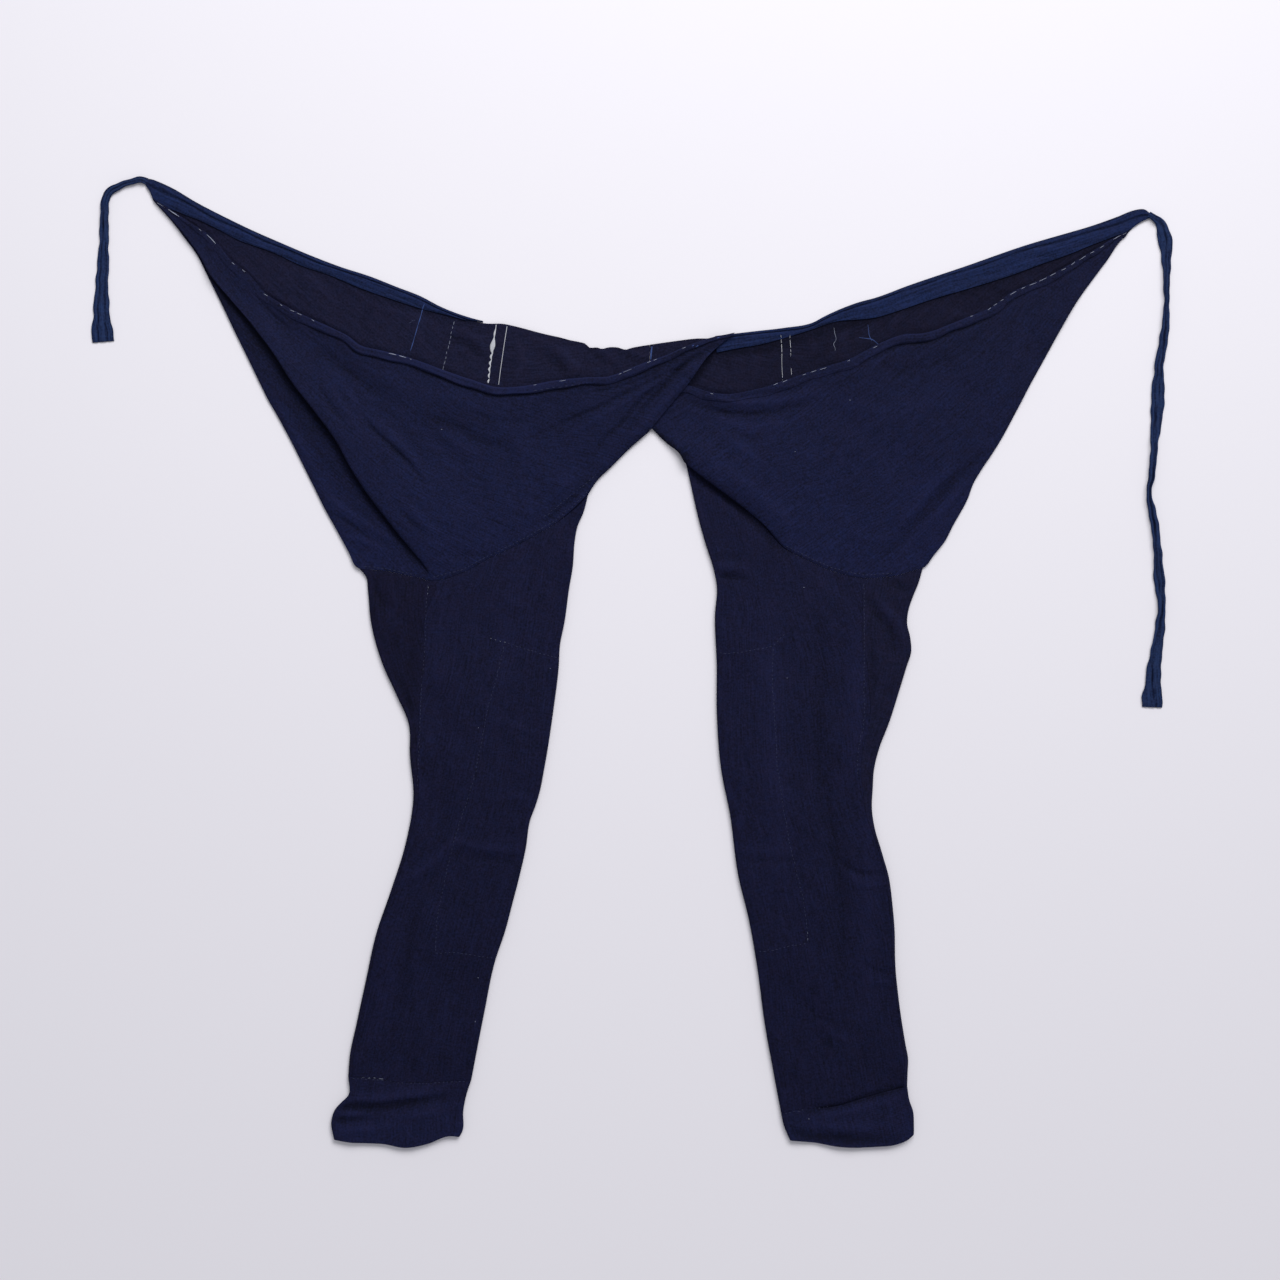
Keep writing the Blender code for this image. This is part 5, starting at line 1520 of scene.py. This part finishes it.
# A stitch strays this far from its line, in mm and radians, and takes a share of its length
STITCH_WOBBLE = 0.3
TURN_WOBBLE = 0.075
STITCH_LENGTHS = (0.5, 1.25)
# Its direction is the line's over this share of it to each side
AHEAD = 0.02
BEAD_SIDES = 6
BEAD_RINGS = 5
THREAD_STEPS = 6
HIGH_ABOVE = 50.0
# No two faces of a bead at the middle are equally far from here
ORDER_FROM = (1, 2, 3)
height_trees = [BVHTree.FromObject(piece, bpy.context.evaluated_depsgraph_get())
                for piece in cloth_pieces.values()]
threads = {}


def cloth_height(x, y):
    """Height of the uppermost cloth at a place, all in mm."""
    above = Vector((x, y, HIGH_ABOVE)) * MM
    hits = [tree.ray_cast(above, (0, 0, -1))[0] for tree in height_trees]
    return max([hit.z for hit in hits if hit], default=0.0) / MM


def lay(piece, on, material):
    """Lays a flat piece of thread down on the cloth that it is sewn to."""
    mesh = piece.data
    co = np.zeros(len(mesh.vertices) * 3, np.float32)
    mesh.vertices.foreach_get("co", co)
    co = co.reshape(-1, 3) / MM
    under = np.array([cloth_height(x, y) for x, y in co[:, :2]])
    co[:, 2] += np.maximum(under, under[under > 0].min()) - STITCH_SINK
    mesh.vertices.foreach_set("co", (co * MM).ravel())
    mesh.update()
    mesh.materials.clear()
    mesh.materials.append(material)
    bpy.ops.object.shade_smooth()
    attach(piece, "root")
    threads.setdefault(on, []).append(piece)


def order_faces():
    """Puts a new bead's faces in a fixed order, because Blender's sphere has them in any."""
    cursor = bpy.context.scene.cursor
    cursor.location = ORDER_FROM
    bpy.ops.object.mode_set(mode="EDIT")
    bpy.ops.mesh.select_all(action="SELECT")
    bpy.ops.mesh.sort_elements(type="CURSOR_DISTANCE", elements={"FACE"})
    bpy.ops.object.mode_set(mode="OBJECT")
    cursor.location = (0, 0, 0)


def stitches(name, on, material, size, runs):
    """Runs of stitches in one piece; size is a stitch's length, gap, width and height in mm."""
    long, gap, wide, high = size
    made = []
    for run in runs:
        line = np.array(run, float)
        steps = max(1, round(length(line) / (long + gap)))
        for i in range(steps):
            share = (i + 0.5) / steps
            x, y = along(line, [share])[0] + dice.normal(0, STITCH_WOBBLE, 2)
            behind, ahead = along(line, [max(share - AHEAD, 0), min(share + AHEAD, 1)])
            way = ahead - behind
            turn = math.atan2(way[1], way[0]) + dice.normal(0, TURN_WOBBLE)
            bpy.ops.object.select_all(action="DESELECT")
            if not made:
                bpy.ops.mesh.primitive_uv_sphere_add(segments=BEAD_SIDES, ring_count=BEAD_RINGS,
                                                     radius=0.5)
                order_faces()
            else:
                copy = made[0].copy()
                copy.data = made[0].data.copy()
                bpy.context.collection.objects.link(copy)
                bpy.context.view_layer.objects.active = copy
            bead = bpy.context.object
            bead.location = (x * MM, y * MM, 0)
            bead.rotation_euler = (0, math.pi / 2, turn)
            bead.scale = (high * MM, wide * MM, long * dice.uniform(*STITCH_LENGTHS) * MM)
            made.append(bead)
    bpy.ops.object.select_all(action="DESELECT")
    for bead in made:
        bead.select_set(True)
    bpy.context.view_layer.objects.active = made[0]
    bpy.ops.object.join()
    bpy.ops.object.transform_apply(location=True, rotation=True, scale=True)
    piece = bpy.context.object
    piece.name = piece.data.name = name
    lay(piece, on, material)
    print(f"{name}: {len(made)} stitches")


def tucked(points, edge, inset):
    """The same points, moved to lie this far to the right of an edge as it runs; width is kept."""
    points = np.array(points, float)
    nearest = [np.linalg.norm(edge - point, axis=1).argmin() for point in points[:, :2]]
    points[:, :2] = edge[nearest] + inset * square_to(ways(edge))[nearest]
    return points


def thread(name, on, material, points, flatness=0.5):
    """One long thread; each point is x, y and the thread's width there, in mm."""
    line = smooth(points, THREAD_STEPS)
    bpy.ops.object.select_all(action="DESELECT")
    bpy.ops.curve.primitive_bezier_curve_add()
    curve = bpy.context.object
    curve.data.splines.clear()
    spline = curve.data.splines.new("POLY")
    spline.points.add(len(line) - 1)
    for point, (x, y, wide) in zip(spline.points, line):
        point.co = (x * MM, y * MM, 0, 1)
        point.radius = wide / 2
    curve.data.bevel_depth = MM
    curve.data.bevel_resolution = 1
    curve.data.use_fill_caps = True
    bpy.ops.object.convert(target="MESH")
    piece = bpy.context.object
    piece.name = piece.data.name = name
    for vertex in piece.data.vertices:
        vertex.co.z *= flatness
    lay(piece, on, material)
    print(f"{name}: {length(line[:, :2]):.0f} mm of thread")


print("pieces of cloth to sew on:", len(height_trees))

# %% Stitches of the front hems
# Length, gap, width and height of a stitch, and how far in from the hem's edge it is sewn
HEM_STITCH = (7.5, 2.0, 0.6, 0.5)
TIP_STITCH = (10.0, 2.4, 0.65, 0.5)
STITCH_INSET = 1.4
LEFT_HEM_STITCHES = [
    [(-448, 449), (-442, 447)], [(-437, 441), (-432, 437)],
    [(-413, 414), (-407, 410)], [(-397, 403), (-389, 397.5)], [(-385, 395), (-370, 385.5)],
    [(-361, 383), (-354.5, 381)], [(-112, 309), (-104, 310)], [(-84, 316), (-72, 316.5)],
    [(-17, 321), (-9, 325.5)], [(14, 334), (31, 339.5)], [(53.5, 349), (64, 353.5)],
]
RIGHT_HEM_STITCHES = [
    [(84, 303), (95, 301)], [(156, 308), (178, 311.5)], [(190, 315), (222, 322)],
    [(240, 330), (250, 333)], [(271, 343), (278, 347)], [(374, 386), (384, 391)],
    [(394, 397), (416, 409)],
]
RIGHT_TIP_STITCHES = [[(420, 410), (476, 436), (532, 469)], [(537, 474.5), (555, 483)]]
stitches("hem_stitches_left", "hem_left", hem_thread, HEM_STITCH,
         [tucked(run, left["front"], STITCH_INSET) for run in LEFT_HEM_STITCHES])
stitches("hem_stitches_right", "hem_right", hem_thread, HEM_STITCH,
         [tucked(run, right["front"], -STITCH_INSET) for run in RIGHT_HEM_STITCHES])
stitches("hem_stitches_tip", "hem_right", hem_thread, TIP_STITCH,
         [tucked(smooth(run), right["front"], -STITCH_INSET) for run in RIGHT_TIP_STITCHES])
stitches("hem_stitches_low", "hem_left", seam_thread, (5.0, 2.5, 0.8, 0.7),
         [[(-112, 303), (-84, 307), (-56, 310)]])
stitches("tacks_near_crossing", "hem_left", blue_thread, (5, 1, 1.2, 0.9),
         [[(66, 352.5), (70, 354.5)], [(71, 351.5), (75, 353.5)], [(94, 361), (99, 363)]])
HEM_THREADS = {
    "hem_thread_tip_1": (hem_thread, [(-533.6, 515.8, 0.4), (-529, 512.6, 0.8),
                                      (-523, 509, 0.5)]),
    "hem_thread_tip_2": (hem_thread, [(-521.4, 507.4, 0.4), (-517, 504.5, 0.8),
                                      (-512.5, 502, 1.1), (-507, 498.6, 0.5)]),
    "hem_thread_tip_3": (hem_thread, [(-489, 486.6, 0.3), (-484, 484.6, 0.6), (-478, 481, 0.4),
                                      (-473, 476.5, 0.8), (-468, 472, 0.9), (-463.5, 468, 0.3)]),
    "hem_thread_seam": (hem_thread, [(-272.5, 345, 0.4), (-267, 343.8, 1.0), (-262, 342, 0.4),
                                     (-257, 340.6, 1.0), (-252.5, 339, 0.5),
                                     (-248.5, 337.4, 0.6)]),
    "hem_thread_middle": (grey_thread, [(-9, 325.8, 0.9), (-2, 326.6, 0.6), (6.5, 328.8, 0.5)]),
}
for name, (material, points) in HEM_THREADS.items():
    thread(name, "hem_left", material, tucked(points, left["front"], STITCH_INSET))

# %% [markdown]
# ## Selvages and seam threads inside the back
#
# Where the inside shows, the joins of narrow loom widths can be seen: a white selvage with a slub
# in it, thin white warp threads, and seams sewn in blue and white. The thicker ones are single
# long threads laid flat, the sewn ones are runs of stitches.

# %% Threads inside the back
thread("selvage_slubbed", "back_left", white_thread,
       [(-152.2, 378, 1.4), (-152.8, 373, 1.6), (-154, 368, 2.8), (-154.4, 364, 1.8),
        (-155.2, 359, 4.4), (-156.3, 354, 6.6), (-157, 349, 4.2), (-156.6, 345.5, 2.0),
        (-158.2, 342, 3.2), (-157.6, 338.5, 1.5), (-159.3, 335, 3.1), (-158.7, 331.5, 1.5),
        (-160.2, 328, 3.0), (-159.4, 324.5, 1.4), (-160.7, 321, 2.6), (-160.1, 317.5, 1.3),
        (-161.2, 314.5, 2.6), (-161, 312, 1.0)], flatness=0.2)
thread("selvage_thin", "back_left", white_thread,
       [(-140, 376, 0.9), (-144, 350, 0.9), (-147, 330, 0.9), (-149.6, 311, 0.8)])
thread("warp_white_1", "back_right", white_thread,
       [(167, 366, 0.6), (168, 350, 0.75), (168, 334, 0.6), (169, 316, 0.75)])
thread("warp_white_2", "back_right", white_thread,
       [(177, 366, 0.65), (178, 350, 0.65), (178, 336, 0.5), (179, 322, 0.65)])
thread("middle_seam_thread", "back_left", blue_thread,
       [(22.4, 353.5, 1.6), (21.6, 347, 2.4), (21, 339, 1.6)], flatness=0.25)
thread("back_seam_blue", "back_left", blue_thread,
       [(-232.6, 401, 0.8), (-235, 395, 1.5), (-236.4, 389, 0.8), (-238, 383, 1.4),
        (-240, 377, 0.7), (-241.6, 371, 1.4), (-244, 363, 0.7), (-246, 356, 1.4),
        (-248.6, 348, 0.5)])
stitches("back_tack_blue", "back_left", seam_thread, (5.5, 0.5, 1.0, 0.7),
         [[(-251, 380), (-242, 384)], [(-249, 385), (-244, 379)]])
stitches("back_seam_white", "back_left", grey_thread, (4.4, 1.4, 0.85, 0.6),
         [[(-199, 383), (-203, 366), (-207.5, 346), (-212.5, 327)]])
thread("broken_thread", "back_right", grey_thread,
       [(226.3, 376, 0.5), (227.6, 368, 0.8), (228.8, 361, 0.6), (226, 356, 0.8),
        (227.8, 351, 0.6), (226.2, 343, 0.4)])
thread("tack_long", "back_right", blue_thread,
       [(264.6, 378, 0.6), (265.4, 372, 0.7), (266, 366, 0.9), (268.6, 360, 0.7)])
thread("tack_cross", "back_right", blue_thread,
       [(255, 363.6, 0.6), (262, 362.6, 0.8), (269, 361.4, 1.0), (276.5, 355.6, 0.6)])

# %% [markdown]
# ## Seams of hips and legs
#
# The hip seam, the side seams, the cuffs and the long patch on the inner side of each leg are sewn
# in thread of nearly the cloth's own colour. They show as a faint dotted line. A few stitches have
# lost their dye.

# %% Seam stitches
SEAM_STITCH = (3.0, 1.6, 0.75, 0.7)
ABOVE_SEAM = 3.2
LEFT_LEG_SEAMS = [
    [(-228, 87), (-230, 71), (-233, 2), (-236, -32), (-240, -140)],
    [(-140, 21), (-112, 12), (-83, 4)],
    [(-143, 18), (-152, -20), (-161, -51), (-170, -97), (-175, -122), (-186, -160), (-195, -186),
     (-205, -223), (-212, -255), (-218, -289), (-220, -325)],
    [(-221, -326), (-193, -326), (-155, -332)],
]
RIGHT_LEG_SEAMS = [
    [(260, 88), (260, -64), (253, -102), (252, -127)],
    [(97, 9), (119, 10), (157, 17), (171, 31)],
    [(158, 15), (157, -28), (159, -51), (161, -84), (162, -115), (166, -140), (171, -173),
     (176, -201), (193, -271), (196, -298), (197, -314)],
    [(141, -325), (161, -322), (181, -317), (195, -316)],
]
stitches("leg_seams_left", "leg_front_left_cloth", seam_thread, SEAM_STITCH, LEFT_LEG_SEAMS)
stitches("leg_seams_right", "leg_front_right_cloth", seam_thread, SEAM_STITCH, RIGHT_LEG_SEAMS)
stitches("leg_seams_grey", "leg_front_left_cloth", grey_thread, (3.0, 2.6, 0.6, 0.6),
         [[(-161, 27), (-140, 21)], [(-228, 86), (-229, 74)], [(197, -300), (197, -314)]])
stitches("hip_seam_left", "front_left", seam_thread, SEAM_STITCH,
         [[(x, y + ABOVE_SEAM) for x, y in LEFT["seam"][3:]],
          [(-301, 107), (-279, 105), (-241, 97)], [(-99, 162), (-72, 183), (-39, 210)]])
stitches("hip_seam_right", "front_right", seam_thread, SEAM_STITCH,
         [[(x, y + ABOVE_SEAM) for x, y in RIGHT["seam"][1:6]]])
stitches("cuff_seam_left", "cuff_left_cloth", seam_thread, SEAM_STITCH,
         [[(-314, -466), (-290, -467), (-260, -472), (-228, -472), (-186, -470)]])
stitches("cuff_seam_right", "cuff_right_cloth", seam_thread, SEAM_STITCH,
         [[(170, -506), (188, -502.5), (204, -500.5), (222, -498.5)]])
stitches("cuff_stitches_white", "cuff_left_cloth", grey_thread, (5.0, 1.6, 0.8, 0.7),
         [[(-304, -465), (-292, -466), (-278, -467)]])
stitches("white_specks", "leg_front_left_cloth", grey_thread, (1.6, 1.0, 0.9, 0.8),
         [[(-173, -74), (-171, -74)], [(-92, -7), (-90, -7)], [(-173, -352), (-172, -355)],
          [(-175, -402), (-175, -404)], [(192, 83), (194, 83)], [(173, -18), (175, -18)],
          [(197, -512), (199, -512)], [(244, 293), (245.5, 293)], [(181.6, 234.5), (183, 235)],
          [(-214, 260), (-212.6, 260)]])
